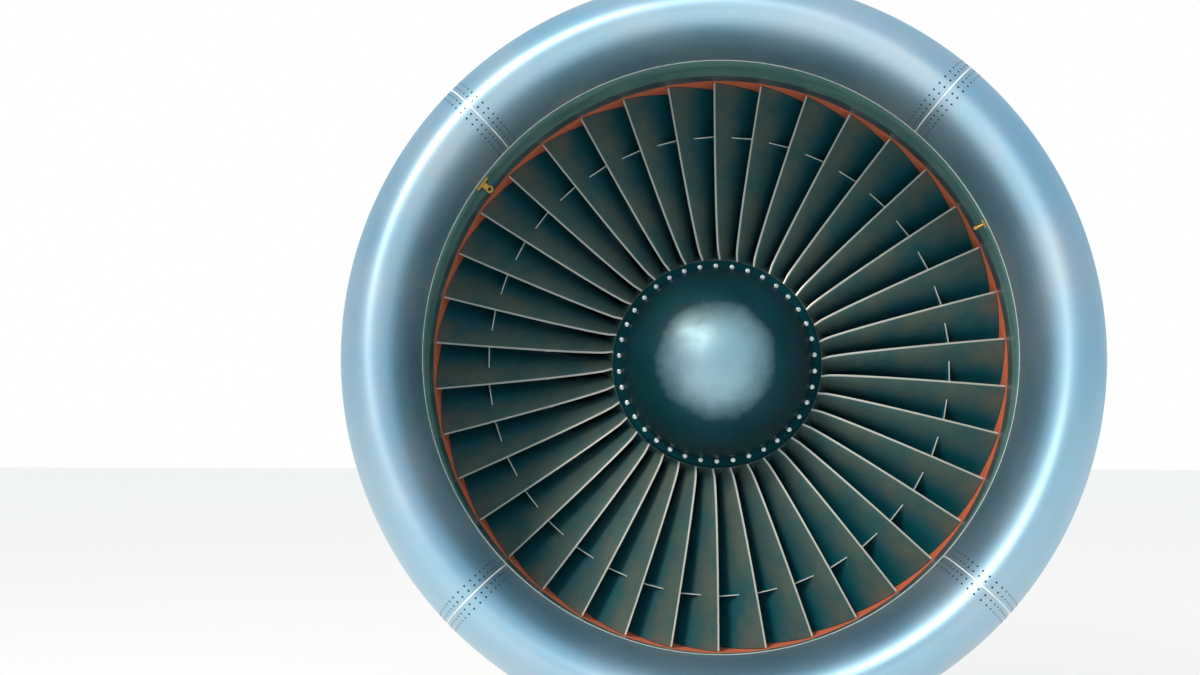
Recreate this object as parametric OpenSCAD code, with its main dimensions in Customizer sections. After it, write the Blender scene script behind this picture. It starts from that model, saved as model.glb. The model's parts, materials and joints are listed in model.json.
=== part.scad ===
// High-bypass turbofan engine in its nacelle.
// The engine axis runs along Y, the intake faces -Y and +Z is up.
// Every profile is written as [radius, station] with station 0 at the fan's leading edges.
// The whole engine is then placed with the forward mount's face at the origin.

/* [Fan] */
// Radius over the fan blade tips
fan_r = 1095; // [1085:1:1105]
// Running gap between the blade tips and the rub strip
tip_gap = 3; // [2:0.5:5]
// Number of fan blades, and of the bolts round the spinner
blade_count = 38; // [32:1:40]
// Hub radius at the blades' leading edge
hub_r = 400; // [390:1:410]
// Rise of the hub from the leading to the trailing edge
hub_rise = 50; // [40:1:60]
// Blade chord at the root
root_chord = 175; // [160:1:185]
// Blade chord at the tip
tip_chord = 235; // [220:1:245]
// Blade angle to the axis at the root
root_stagger = 13; // [10:1:18]
// Blade angle to the axis at the tip
tip_stagger = 55; // [50:1:58]
// Blade thickness at the root
root_thick = 17; // [14:0.5:19]
// Blade thickness at the tip
tip_thick = 6; // [5:0.5:8]
// Radius of the part-span shroud
shroud_r = 890; // [860:5:920]
// Height of the spinner dome
spinner_h = 287; // [260:1:310]

/* [Intake] */
// Length from the lip to the fan case flange
intake_len = 1000; // [960:5:1040]
// Radius at the front of the lip
lip_front_r = 1100; // [1090:1:1110]
// Radius at the throat
throat_r = 985; // [975:1:995]
// Distance from the lip to the throat
throat_len = 230; // [220:1:240]
// Length of the outer lip skin
lip_outer_len = 420; // [400:5:440]
// Length of the inner lip skin
lip_inner_len = 310; // [300:5:330]
// Thickness of the lip skin
lip_skin = 4; // [3:0.5:5]
// Thickness of the acoustic inner barrel
barrel_wall = 25; // [20:1:30]
// Thickness of the outer barrel skin
barrel_skin = 5; // [4:0.5:8]

/* [Nacelle] */
// Largest outside radius
outer_r = 1350; // [1340:1:1365]
// Outside radius of the fan nozzle at its edge
nozzle_r = 1092; // [1086:1:1100]
// Station of the fan nozzle edge
nozzle_y = 2050; // [2030:5:2080]
// Thickness of the cowl door panels
cowl_wall = 18; // [14:1:22]
// Half angle of the slot that the pylon stands in
slot_angle = 6.9; // [6:0.1:7.5]

/* [Thrust reverser] */
// Travel of the translating sleeves
sleeve_travel = 430; // [420:5:450]
// Length of the blocker doors
blocker_len = 322; // [300:1:325]
// Thickness of the blocker doors
blocker_wall = 12; // [10:1:13]
// Inside radius of the fan nozzle duct
bypass_r = 1060; // [1058:1:1062]

/* [Core] */
// Outside radius of the inner duct wall
core_r = 696; // [690:1:702]
// Outside radius of the low-pressure shaft
fan_shaft_r = 75; // [70:1:80]
// Outside radius of the high-pressure shaft
core_shaft_r = 118; // [114:1:124]
// Rotor stages of the high-pressure compressor
hpc_stages = 14; // [10:1:14]
// Blades drawn in each high-pressure compressor stage
hpc_blades = 18; // [12:1:24]
// Number of outlet guide vanes
ogv_count = 72; // [60:1:76]
// Number of struts in the fan frame
strut_count = 12; // [8:1:12]
// Number of fuel nozzles
nozzle_count = 30; // [20:1:30]

/* [Mounts] */
// Spacing of the forward mount's bolts across the engine
fm_span_x = 200; // [180:5:220]
// Spacing of the forward mount's bolts along the engine
fm_span_y = 90; // [80:5:100]
// Radius of the forward mount's bolt holes
fm_hole_r = 13; // [10:0.5:16]
// Radius of the aft mount's pin bore
am_hole_r = 20; // [16:0.5:24]
// Radius of the hinge bores on the cowls
hinge_hole_r = 10; // [8:0.5:12]

/* [Hidden] */
$fn = 240;

// Clearance between pieces that are seated on each other
seat = 0.3;
// Inside radius of the fan case over the rub strip
duct_r = fan_r + tip_gap;
// Stations along the engine
flange_y = -110;
lip_y = flange_y - intake_len;
throat_y = lip_y + throat_len;
widest_y = 100;
lip_out_y = lip_y + lip_outer_len;
lip_in_y = lip_y + lip_inner_len;
cowl_y0 = flange_y - 15;
cowl_y1 = 924;
case_y1 = 450;
frame_y1 = 955;
core_y0 = 1000;
frame_y0 = 750;
hpc_y1 = 2010;
comb_y1 = 2480;
hpt_y1 = 2760;
lpt_y1 = 3330;
trf_y1 = 3560;
core_nozzle_y = 3900;
plug_y = 4330;
// Place of the forward mount's face
fm_y = 860;
fm_z = duct_r + 117;
// Hinge lines of the cowls
cowl_hinge = [135, outer_r - 58];
rev_hinge = [135, outer_r - 115];
// Blades
blade_y = 68;
pitch = 360 / blade_count;
root_r = hub_r - 60;
blade_span = fan_r - root_r;

// Turns a profile of [radius, station] about the engine axis
module ring() {
  rotate([-90, 0, 0]) rotate_extrude() children();
}

// The same from clock angle a to b, clockwise from the top seen from the front
module sector(a, b) {
  rotate([-90, 0, 0]) rotate([0, 0, a - 90]) rotate_extrude(angle = b - a) children();
}

// A place at a clock angle: X points outwards, Y clockwise and Z aft
module clock(a) {
  rotate([-90, 0, 0]) rotate([0, 0, a - 90]) children();
}

// The whole engine is drawn about its axis and moved to the forward mount
module place() {
  translate([0, -fm_y, -fm_z]) children();
}

// Mirrors a right-hand piece to the left
module side(left) {
  mirror([left ? 1 : 0, 0, 0]) children();
}

// Outside contour of the nacelle
function outer(y) = y < widest_y
  ? lip_front_r + (outer_r - lip_front_r) * sqrt(max(0, 1 - pow((widest_y - y) / (widest_y - lip_y), 2)))
  : outer_r - (outer_r - nozzle_r) * pow((y - widest_y) / (nozzle_y - widest_y), 2);

// Inside contour of the intake behind its throat
function duct(y) =
  throat_r + (duct_r - throat_r) * (1 - cos(180 * (y - throat_y) / (flange_y - throat_y))) / 2;

// Outside contour of the core cowl
function core(y) = y < 1700
  ? core_r + 6 + 28 * sin(90 * (y - core_y0) / (1700 - core_y0))
  : core_r + 34 - 54 * pow((y - 1700) / (trf_y1 - 1700), 1.5);

// Points of a contour from station a to b, moved outwards by t
function steps(a, b, n) = [for (i = [0:n]) a + (b - a) * i / n];
function line_out(a, b, n, t = 0) = [for (y = steps(a, b, n)) [outer(y) + t, y]];
function line_duct(a, b, n, t = 0) = [for (y = steps(a, b, n)) [duct(y) + t, y]];
function line_core(a, b, n, t = 0) = [for (y = steps(a, b, n)) [core(y) + t, y]];
function flip(p) = [for (i = [len(p) - 1:-1:0]) p[i]];

// Lip contour set in by t, from its outer rear edge round the front to its inner rear edge at y_in.
// It leaves out the first skip points of the outer part.
function lip_tail(y) = throat_r + (duct(lip_in_y) - throat_r) * (y - throat_y) / (lip_in_y - throat_y);
function lip_line(t, y_in, skip = 0) =
  let (a = widest_y - lip_y - t, b = outer_r - lip_front_r - t,
       c = throat_len - t, d = lip_front_r - throat_r - t,
       end = acos((widest_y - lip_out_y) / a))
  concat(
    [for (i = [10 - skip:-1:0]) let (q = end * i / 10) [lip_front_r + b * sin(q), widest_y - a * cos(q)]],
    [for (i = [1:7]) let (q = 90 * i / 7) [lip_front_r - d * sin(q), throat_y - c * cos(q)]],
    [[lip_tail(y_in) + t, y_in]]
  );

function lip_section(t0, t1, y_in, skip = 0) =
  concat(lip_line(t0, y_in, skip), flip(lip_line(t1, y_in, skip)));

// Fan blade sections
function span(r) = max(0, (r - hub_r) / (fan_r - hub_r));
function stagger(r) = root_stagger + (tip_stagger - root_stagger) * pow(span(r), 0.65);
function chord(r) = root_chord + (tip_chord - root_chord) * span(r);
function camber(r) = chord(r) * (0.11 - 0.095 * span(r));
function blade_thick(r) = root_thick - (root_thick - tip_thick) * span(r);
function wrap(r, u, y) = [r * cos(u / r * 180 / PI), r * sin(u / r * 180 / PI), y];
foil = [[0, 0], [0.2, 0.8], [0.5, 1], [0.8, 0.6], [1, 0], [0.8, -0.6], [0.5, -1], [0.2, -0.8]];
function foil_ring(r, rise = 0) = [for (q = foil)
  let (a = stagger(r), s = (q[0] - 0.5) * chord(r),
       o = camber(r) * 4 * q[0] * (1 - q[0]) + q[1] * blade_thick(r) / 2,
       y = blade_y + s * cos(a) - o * sin(a))
  wrap(r + rise * (y - pad_y0) / (pad_y1 - pad_y0), s * sin(a) + o * cos(a), y)];

// A rectangular ring of the blade root, in the same order of points as the aerofoil
function root_ring(r, w, y0, y1, rise = 0) =
  let (m = (y0 + y1) / 2, e = 4)
  [for (p = [[-1, y0], [1, y0], [1, m], [1, y1 - e], [1, y1], [-1, y1], [-1, m], [-1, y0 + e]])
    let (up = rise * (p[1] - y0) / (y1 - y0))
    [r + up, p[0] * (w + up * tan(pitch / 2)), p[1]]];
disk_y0 = -10;
disk_y1 = 150;
pad_y0 = disk_y0 - 10;
pad_y1 = disk_y1 + 10;
pad_w = (hub_r - 8) * tan(pitch / 2) - seat;
neck_w = 12;
tail_w = 17;
blade_rings = concat(
  [root_ring(root_r, tail_w, disk_y0, disk_y1), root_ring(root_r + 20, tail_w, disk_y0, disk_y1),
   root_ring(root_r + 35, neck_w, disk_y0, disk_y1), root_ring(hub_r - 8, neck_w, disk_y0, disk_y1),
   root_ring(hub_r - 8, pad_w, pad_y0, pad_y1, hub_rise - 3),
   root_ring(hub_r, pad_w + 0.6, pad_y0, pad_y1, hub_rise)],
  [foil_ring(hub_r, hub_rise)],
  [for (i = [1:6]) foil_ring(hub_r + (fan_r - hub_r) * i / 6)]
);
ring_n = len(foil);
ring_m = len(blade_rings);
blade_faces = concat(
  [[for (i = [0:ring_n - 1]) i]],
  [for (k = [0:ring_m - 2], i = [0:ring_n - 1])
    let (j = (i + 1) % ring_n, a = k * ring_n, b = a + ring_n)
      each [[a + i, b + i, a + j], [b + i, b + j, a + j]]],
  [[for (i = [0:ring_n - 1]) (ring_m - 1) * ring_n + ring_n - 1 - i]]
);

// One fan blade with its platform, dovetail root and part-span shroud
module fan_blade() {
  r0 = shroud_r - 8;
  r1 = shroud_r + 6;
  w0 = r0 * tan(pitch / 2) - seat;
  w1 = r1 * tan(pitch / 2) - seat;
  translate([root_r, 0, 0]) resize([blade_span, 0, 0]) translate([-root_r, 0, 0]) {
    polyhedron(points = [for (s = blade_rings) each s], faces = blade_faces);
    translate([0, 0, blade_y - 28]) linear_extrude(height = 62)
      polygon([[r0, -w0], [r1, -w1], [r1, w1], [r0, w0]]);
  }
}

module fan_blades() {
  color("#0f5a66") place() for (i = [0:blade_count - 1]) clock((i + 0.5) * pitch) fan_blade();
}

// A straight blade or vane from radius a to b, from station y0, its chord leaning clockwise by lean
module vane(a, b, y0, len, lean, bow, thick) {
  translate([a, 0, 0]) rotate([0, 90, 0]) rotate([0, 0, 180]) linear_extrude(height = b - a)
    polygon([[y0, -lean / 2], [y0 + len / 2, bow - thick / 2], [y0 + len, lean / 2],
             [y0 + len / 2, bow + thick / 2]]);
}

// A full row of vanes
module row(count, a, b, y0, len, lean, bow, thick) {
  for (i = [0:count - 1]) clock(i * 360 / count) vane(a, b, y0, len, lean, bow, thick);
}

// Intake
seam_angles = [42, 132, 225, 315];
seam_gap = 0.05;
module intake_lip_segments() {
  color("#9aa9b5") place() for (i = [0:3]) {
    next = seam_angles[(i + 1) % 4] + (i == 3 ? 360 : 0);
    sector(seam_angles[i] + seam_gap / 2, next - seam_gap / 2)
      polygon(lip_section(0, lip_skin, lip_in_y));
  }
}

strap_wall = 3;
module lip_splice_straps() {
  color("#8b96a0") place() for (a = seam_angles) sector(a - 2.2, a + 2.2)
    polygon(lip_section(lip_skin + seat, lip_skin + seat + strap_wall, lip_in_y - 30, 1));
}

web = 5;
module intake_bulkheads() {
  front_y = lip_out_y - 12;
  rear_y = flange_y - 45;
  color("#6f8f5a") place() {
    front_r = duct(front_y + 30) + barrel_wall + seat;
    ring() polygon(concat(
      [[front_r, front_y + 30], [front_r, front_y]],
      [[outer(front_y) - lip_skin - seat - 8, front_y], [outer(front_y) - lip_skin - seat - 8, front_y - 14]],
      line_out(front_y - 14, front_y + 40, 3, -lip_skin - seat - 1),
      [[outer(front_y) - 13, front_y + 40], [outer(front_y) - 13, front_y + web],
       [front_r + web, front_y + web], [front_r + web, front_y + 30]]
    ));
    rear_r = duct(rear_y + web) + barrel_wall + seat;
    ring() polygon(concat(
      [[rear_r, rear_y - 20], [rear_r, rear_y + web],
       [outer(rear_y) - cowl_wall - seat - 8, rear_y + web],
       [outer(rear_y) - cowl_wall - seat - 8, flange_y + 25]],
      line_out(flange_y + 25, flange_y - 22, 2, -cowl_wall - seat),
      line_out(flange_y - 22, rear_y - 30, 2, -barrel_skin - seat),
      [[outer(rear_y) - barrel_skin - seat - 8, rear_y - 30], [outer(rear_y) - barrel_skin - seat - 8, rear_y],
       [rear_r + web, rear_y], [rear_r + web, rear_y - 20]]
    ));
  }
}

ice_pipe_r = 14;
ice_ring_r = lip_front_r + 30;
ice_ring_y = lip_y + 150;
module anti_ice_ring() {
  color("#b8b0a0") place() {
    ring() translate([ice_ring_r, ice_ring_y]) difference() {
      circle(r = ice_pipe_r);
      circle(r = ice_pipe_r - 2);
    }
    for (i = [0:7]) clock(22.5 + 45 * i) translate([ice_ring_r, 0, ice_ring_y + ice_pipe_r + seat])
      translate([-10, -12, 0]) cube([20, 24, lip_out_y - 12 - seat - ice_ring_y - ice_pipe_r - seat]);
  }
}

module intake_outer_barrel() {
  y0 = lip_out_y + 0.5;
  y1 = flange_y - 20;
  color("#a3b1bb") place() ring() polygon(concat(
    line_out(y0, y1, 8), flip(line_out(y0 + 300, y1, 4, -barrel_skin)),
    [[outer(y0 + 300) - barrel_skin - 30, y0 + 300], [outer(y0 + 300) - barrel_skin - 30, y0 + 296],
     [outer(y0 + 296) - barrel_skin, y0 + 296]],
    flip(line_out(y0, y0 + 280, 4, -barrel_skin))
  ));
}

module intake_inner_barrel() {
  y0 = lip_in_y + 0.5;
  y1 = flange_y;
  color("#2f6666") place() difference() {
    ring() polygon(concat(
      line_duct(y0, y1, 8),
      [[duct_r + 52, y1], [duct_r + 52, y1 - 18], [duct_r + barrel_wall, y1 - 18]],
      flip(line_duct(y0 + 40, y1 - 60, 7, barrel_wall)),
      [[duct(y0) + lip_skin + 8, y0 + 12], [duct(y0) + lip_skin + 8, y0 - 24],
       [lip_tail(y0 - 24) + lip_skin + seat, y0 - 24], [lip_tail(y0) + lip_skin + seat, y0]]
    ));
    for (i = [0:flange_bolts - 1]) clock((i + 0.5) * 360 / flange_bolts)
      translate([duct_r + 40, 0, y1 - 30]) cylinder(r = bolt_r + seat / 2, h = 60);
  }
}

flange_bolts = 36;
bolt_r = 6;
module intake_flange_bolts() {
  color("#c0c0b8") place() for (i = [0:flange_bolts - 1]) clock((i + 0.5) * 360 / flange_bolts)
    translate([duct_r + 40, 0, 0]) {
      translate([0, 0, flange_y - 18 - 9]) cylinder(r = 10, h = 9);
      translate([0, 0, flange_y - 18 - 1]) cylinder(r = bolt_r, h = 38);
      translate([0, 0, flange_y + 18]) cylinder(r = 10, h = 9);
    }
}

// Small fittings on the inner barrel, each on a base that lies along the barrel
fitting_y = lip_in_y + 90;
module on_barrel(a) {
  slope = (duct(fitting_y + 1) - duct(fitting_y - 1)) / 2;
  clock(a) translate([duct(fitting_y) - 0.7, 0, fitting_y]) rotate([0, atan(slope), 0]) children();
}

probe_angle = 306.5;
module temperature_probe() {
  place() on_barrel(probe_angle) difference() {
    union() {
      translate([-8, -26, -40]) cube([8, 52, 80]);
      translate([-30, -9, -22]) cube([24, 18, 44]);
      translate([-34, 0, -34]) cylinder(r = 12, h = 68);
    }
    translate([-34, 0, -40]) cylinder(r = 7, h = 80);
  }
}

sensor_angle = 64;
module pressure_probe() {
  place() on_barrel(sensor_angle) {
    translate([-5, -14, -14]) cube([5, 28, 28]);
    translate([-30, 0, 0]) rotate([0, 90, 0]) cylinder(r = 5, h = 26);
    translate([-32, 0, -16]) cylinder(r = 6, h = 32);
  }
}

module inlet_probes() {
  color("#c79a3b") {
    temperature_probe();
    pressure_probe();
  }
}

// Low-pressure spool
land_r = hub_r - 42;
land_y = -78;
bolt_circle_r = hub_r - 29;
dome_skin = 6;
module spinner_dome() {
  color("#15404a") place() difference() {
    ring() polygon(concat(
      [for (i = [0:12]) let (q = 90 * i / 12) [land_r * sin(q), land_y - spinner_h * cos(q)]],
      [[hub_r - 14, land_y], [hub_r - 8, land_y + 8], [hub_r - 8, land_y + 18],
       [land_r - dome_skin - 10, land_y + 18],
       [land_r - dome_skin - 10, land_y + 8], [land_r - dome_skin, land_y]],
      [for (i = [11:-1:0]) let (q = 90 * i / 12)
        [(land_r - dome_skin) * sin(q), land_y - (spinner_h - dome_skin) * cos(q)]]
    ));
    for (i = [0:blade_count - 1]) clock(i * pitch) translate([bolt_circle_r, 0, land_y - 5])
      cylinder(r = 5 + seat / 2, h = 40);
  }
}

module spinner_ring() {
  color("#15404a") place() difference() {
    ring() polygon([[hub_r - 100, disk_y0 - 12], [hub_r - 60, disk_y0 - 12], [hub_r - 60, land_y + 30],
      [land_r - 16, land_y + 30], [land_r - 16, land_y + 18], [hub_r - 6, land_y + 18], [hub_r - 1, pad_y0 - 1],
      [hub_r - 10, pad_y0 - 1], [hub_r - 10, disk_y0], [hub_r - 100, disk_y0]]);
    for (i = [0:blade_count - 1]) clock(i * pitch) translate([bolt_circle_r, 0, land_y + 10])
      cylinder(r = 5 + seat / 2, h = 25);
  }
}

module spinner_bolts() {
  color("#dfe3e6") place() for (i = [0:blade_count - 1]) clock(i * pitch)
    translate([bolt_circle_r, 0, land_y]) {
      translate([0, 0, -6]) cylinder(r = 8, h = 6);
      translate([0, 0, -1]) cylinder(r = 5, h = 31);
    }
}

module fan_disk() {
  color("#8c8f90") place() difference() {
    ring() polygon([[fan_shaft_r + 15, 20], [165, 20], [190, 52], [hub_r - 110, 52], [hub_r - 100, disk_y0],
      [hub_r - 8.5, disk_y0], [hub_r - 8.5, disk_y1], [hub_r - 100, disk_y1], [hub_r - 110, 92], [190, 92],
      [165, 124], [fan_shaft_r + 15, 124]]);
    for (i = [0:blade_count - 1]) clock((i + 0.5) * pitch) translate([0, 0, disk_y0 - 1])
      linear_extrude(height = disk_y1 - disk_y0 + 2) polygon([
        [root_r - seat, -tail_w - seat], [root_r + 20, -tail_w - seat], [root_r + 35, -neck_w - seat],
        [hub_r, -neck_w - seat], [hub_r, neck_w + seat], [root_r + 35, neck_w + seat],
        [root_r + 20, tail_w + seat], [root_r - seat, tail_w + seat]]);
  }
}

// Inner duct of the booster
drum_r = hub_r + 62;
booster_y0 = 440;
booster_y1 = 745;
function booster(y) = 640 - 0.206 * (y - 430);
module booster_rotor() {
  color("#7d8386") place() {
    ring() polygon([[hub_r - 80, disk_y1], [hub_r - 50, disk_y1], [hub_r - 50, disk_y1 + 9],
      [hub_r + hub_rise - 3, disk_y1 + 14], [hub_r + hub_rise + 3, disk_y1 + 18], [hub_r + hub_rise + 3, 365],
      [hub_r + hub_rise - 4, 365], [hub_r + hub_rise - 4, disk_y1 + 24], [hub_r - 45, disk_y1 + 24],
      [drum_r - 20, booster_y0], [drum_r, booster_y0], [drum_r, booster_y1 - 30], [drum_r - 10, booster_y1 - 30],
      [drum_r - 10, booster_y0 + 12], [drum_r - 26, booster_y0 + 12], [hub_r - 58, disk_y1 + 30],
      [hub_r - 58, disk_y1 + 10], [hub_r - 80, disk_y1 + 10]]);
    for (k = [0:2]) let (y = booster_y0 + 28 + 95 * k)
      row(38, drum_r + seat, booster(y + 20) - 8, y, 42, 22, -4, 7);
  }
}

module fan_shaft() {
  color("#9a9c9b") place() ring() polygon([[fan_shaft_r - 28, 20], [fan_shaft_r + 15 - seat / 3, 20],
    [fan_shaft_r + 15 - seat / 3, 124], [fan_shaft_r + 60, 124], [fan_shaft_r + 60, 136], [fan_shaft_r, 160],
    [fan_shaft_r, trf_y1 - 110], [fan_shaft_r - 28, trf_y1 - 110]]);
}

lpt_hub_r = 385;
lpt_case_r = 445;
function lpt(y) = lpt_case_r + 0.35 * (y - hpt_y1);
module fan_turbine_rotor() {
  color("#8a7f74") place() {
    ring() polygon([[fan_shaft_r + seat / 3, 3060], [fan_shaft_r + 30, 3060], [fan_shaft_r + 40, 3100],
      [lpt_hub_r - 10, 3100], [lpt_hub_r - 10, 2855], [lpt_hub_r, 2855], [lpt_hub_r, 3300],
      [lpt_hub_r - 10, 3300], [lpt_hub_r - 10, 3115], [fan_shaft_r + 40, 3115], [fan_shaft_r + 30, 3160],
      [fan_shaft_r + seat / 3, 3160]]);
    for (k = [0:3]) let (y = 2862 + 130 * k) row(32, lpt_hub_r + seat, lpt(y) - 4, y, 48, -26, 8, 9);
  }
}

// High-pressure spool
hpc_hub0 = 285;
hpc_hub1 = 318;
function hpc_hub(y) = hpc_hub0 + (hpc_hub1 - hpc_hub0) * (y - core_y0) / (hpc_y1 - core_y0);
function hpc_case(y) = 424 - 0.08 * (y - core_y0);
hpc_step = (hpc_y1 - core_y0 - 40) / hpc_stages;
module compressor_rotor() {
  color("#8b9094") place() {
    ring() polygon([[core_shaft_r + seat / 3, core_y0 + 60], [core_shaft_r + 20, core_y0 + 60],
      [hpc_hub(core_y0 + 20) - 12, core_y0 + 20], [hpc_hub(core_y0 + 20), core_y0 + 20],
      [hpc_hub(hpc_y1 - 20), hpc_y1 - 20], [hpc_hub(hpc_y1 - 20) - 12, hpc_y1 - 20],
      [hpc_hub(core_y0 + 40) - 12, core_y0 + 40], [core_shaft_r + 24, core_y0 + 76],
      [core_shaft_r + seat / 3, core_y0 + 76]]);
    for (k = [0:hpc_stages - 1]) let (y = core_y0 + 26 + hpc_step * k)
      row(hpc_blades, hpc_hub(y + 26) + seat, hpc_case(y + 26) - 4, y, 28, 18, -3, 5);
  }
}

hpt_hub_r = 335;
hpt_case_r = 430;
module core_turbine_rotor() {
  color("#94877a") place() {
    ring() polygon([[core_shaft_r - 13, core_y0 - 40], [core_shaft_r, core_y0 - 40], [core_shaft_r, 2520],
      [core_shaft_r + 40, 2520],
      [core_shaft_r + 60, 2545], [hpt_hub_r - 30, 2545], [hpt_hub_r - 30, 2535], [hpt_hub_r, 2535],
      [hpt_hub_r, 2585], [hpt_hub_r - 30, 2585], [hpt_hub_r - 30, 2570], [core_shaft_r + 60, 2570],
      [core_shaft_r + 40, 2600], [core_shaft_r + 40, 2640], [core_shaft_r + 60, 2665], [hpt_hub_r - 30, 2665],
      [hpt_hub_r - 30, 2655], [hpt_hub_r, 2655], [hpt_hub_r, 2705], [hpt_hub_r - 30, 2705],
      [hpt_hub_r - 30, 2690], [core_shaft_r + 60, 2690], [core_shaft_r + 40, 2715], [core_shaft_r - 13, 2715]]);
    for (k = [0:1]) row(36, hpt_hub_r + seat, hpt_case_r - 3, 2537 + 120 * k, 46, -24, 8, 10);
  }
}

// Bearings: each row is [station, inner radius, outer radius]
bearings = [[790, fan_shaft_r, 200], [985, core_shaft_r, 200], [3400, fan_shaft_r, 130]];
roller_d = 30;
module main_bearings() {
  color("#b5b8ba") place() for (b = bearings) {
    y = b[0];
    inside = b[1] + roller_d;
    outside = b[2] - 0.1;
    ring() polygon([[inside, y - 14], [inside + 10, y - 14], [inside + 10, y - 5], [outside - 10, y - 5],
      [outside - 10, y - 14], [outside, y - 14], [outside, y + 14], [outside - 10, y + 14],
      [outside - 10, y + 5], [inside + 10, y + 5], [inside + 10, y + 14], [inside, y + 14]]);
    for (i = [0:15]) clock(22.5 * i) translate([b[1] + roller_d / 2, 0, y - 10])
      cylinder(r = roller_d / 2 - 0.1, h = 20);
  }
}

// Fan case and frame
rub_wall = 10;
module fan_case() {
  color("#57707a") place() difference() {
    ring() polygon([[duct_r, flange_y], [duct_r + 52, flange_y], [duct_r + 52, flange_y + 18],
      [duct_r + 26, flange_y + 18], [duct_r + 26, 40], [duct_r + 52, 40], [duct_r + 52, 56], [duct_r + 32, 56],
      [duct_r + 32, 190], [duct_r + 52, 190], [duct_r + 52, 206], [duct_r + 26, 206], [duct_r + 26, 320],
      [duct_r + 52, 320], [duct_r + 52, 336], [duct_r + 24, 336], [duct_r + 24, case_y1 - 16],
      [duct_r + 52, case_y1 - 16], [duct_r + 52, case_y1], [duct_r, case_y1], [duct_r, 250],
      [duct_r + rub_wall + seat, 250], [duct_r + rub_wall + seat, -20], [duct_r, -20]]);
    for (i = [0:flange_bolts - 1]) clock((i + 0.5) * 360 / flange_bolts)
      translate([duct_r + 40, 0, flange_y - 30]) cylinder(r = bolt_r + seat / 2, h = 60);
  }
}

module fan_rub_strip() {
  color("#c8593a") place() ring() translate([duct_r, -20 + seat]) square([rub_wall, 270 - 2 * seat]);
}

ogv_y = 500;
module outlet_guide_vanes() {
  color("#4f6f76") place() row(ogv_count, core_r + seat, duct_r - seat, ogv_y, 140, -30, 12, 13);
}

groove_y = frame_y1 - 31;
groove_r = duct_r + 44;
blade_w = 14;
// The fan frame's outer ring and its two inner rings
module fan_frame() {
  color("#6d7c82") place() {
    ring() polygon([[duct_r, case_y1 + seat], [duct_r + 52, case_y1 + seat], [duct_r + 52, case_y1 + 16],
      [duct_r + 24, case_y1 + 16], [duct_r + 24, groove_y - 19], [groove_r + 23, groove_y - 19],
      [groove_r + 23, groove_y], [groove_r, groove_y], [groove_r, groove_y + blade_w],
      [groove_r + 23, groove_y + blade_w], [groove_r + 23, frame_y1], [duct_r, frame_y1]]);
    ring() polygon([[booster(frame_y0), frame_y0], [core_r, frame_y0], [core_r + 6, core_y0],
      [core_r - 4 - seat, core_y0], [core_r - 4 - seat, core_y0 + 30], [core_r - 14, core_y0 + 30],
      [core_r - 14, 775], [600, 775], [572, 850], [452, core_y0], [430, core_y0], [548, 850]]);
    ring() polygon([[200, 776], [200, 804], [415, 804], [402, 840], [300, 971], [200, 971], [200, 999],
      [hpc_hub(core_y0), 999], [414, 850], [450, 776]]);
  }
}

module frame_struts(r, long) {
  for (i = [0:strut_count - 1]) clock((i + 0.5) * 360 / strut_count) translate([r, 0, 0])
    rotate([0, 90, 0]) rotate([0, 0, 180]) linear_extrude(height = long)
    polygon([[795, 0], [815, 12], [860, 15], [910, 8], [925, 0], [910, -8], [860, -15], [815, -12]]);
}

// Struts seated between the rings, across the fan duct and across the core's passage
module fan_frame_struts() {
  color("#6d7c82") place() {
    intersection() {
      frame_struts(core_r - 5, duct_r + 10 - core_r);
      ring() polygon([[core_r + seat, frame_y0], [core_r + 6 + seat, core_y0],
        [duct_r - seat, core_y0], [duct_r - seat, frame_y0]]);
    }
    intersection() {
      frame_struts(hpc_hub(core_y0), core_r - 50 - hpc_hub(core_y0));
      ring() polygon([[450 + seat, 776], [414 + seat, 850], [hpc_hub(core_y0) + seat, 999],
        [430 - seat, core_y0], [548 - seat, 850], [booster(frame_y0) - seat, frame_y0]]);
    }
  }
}

module splitter_nose() {
  color("#8d989c") place() {
    ring() polygon([[core_r - 31, 369], [core_r - 28, 365], [core_r - 24, 367], [core_r - 12, 393],
      [core_r, 432], [booster(430) + 10, 432], [booster(430), 430], [core_r - 42, 400]]);
    ring() translate([hub_r + hub_rise + 1, 372]) square([8, 46]);
    row(40, hub_r + hub_rise + 9 + seat, core_r - 48.8, 374, 40, 10, 3, 6);
  }
}

module bypass_inner_wall() {
  color("#5f7379") place() ring() polygon([[core_r - 6, 432 + seat], [core_r, 432 + seat], [core_r, 750 - seat],
    [core_r - 18, 750 - seat], [core_r - 18, 742], [core_r - 6, 742]]);
}

module booster_case() {
  color("#7b868a") place() {
    ring() polygon([[booster(432), 432 + seat], [core_r - 6 - seat, 432 + seat], [core_r - 6 - seat, 446],
      [booster(446) + 10, 446], [booster(735) + 10, 735], [600, 735], [600, 750 - seat],
      [booster(750), 750 - seat]]);
    for (k = [0:2]) let (y = booster_y0 + 78 + 95 * k)
      row(38, drum_r + 8, booster(y + 34) - seat, y, 34, -14, -3, 6);
  }
}

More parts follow.
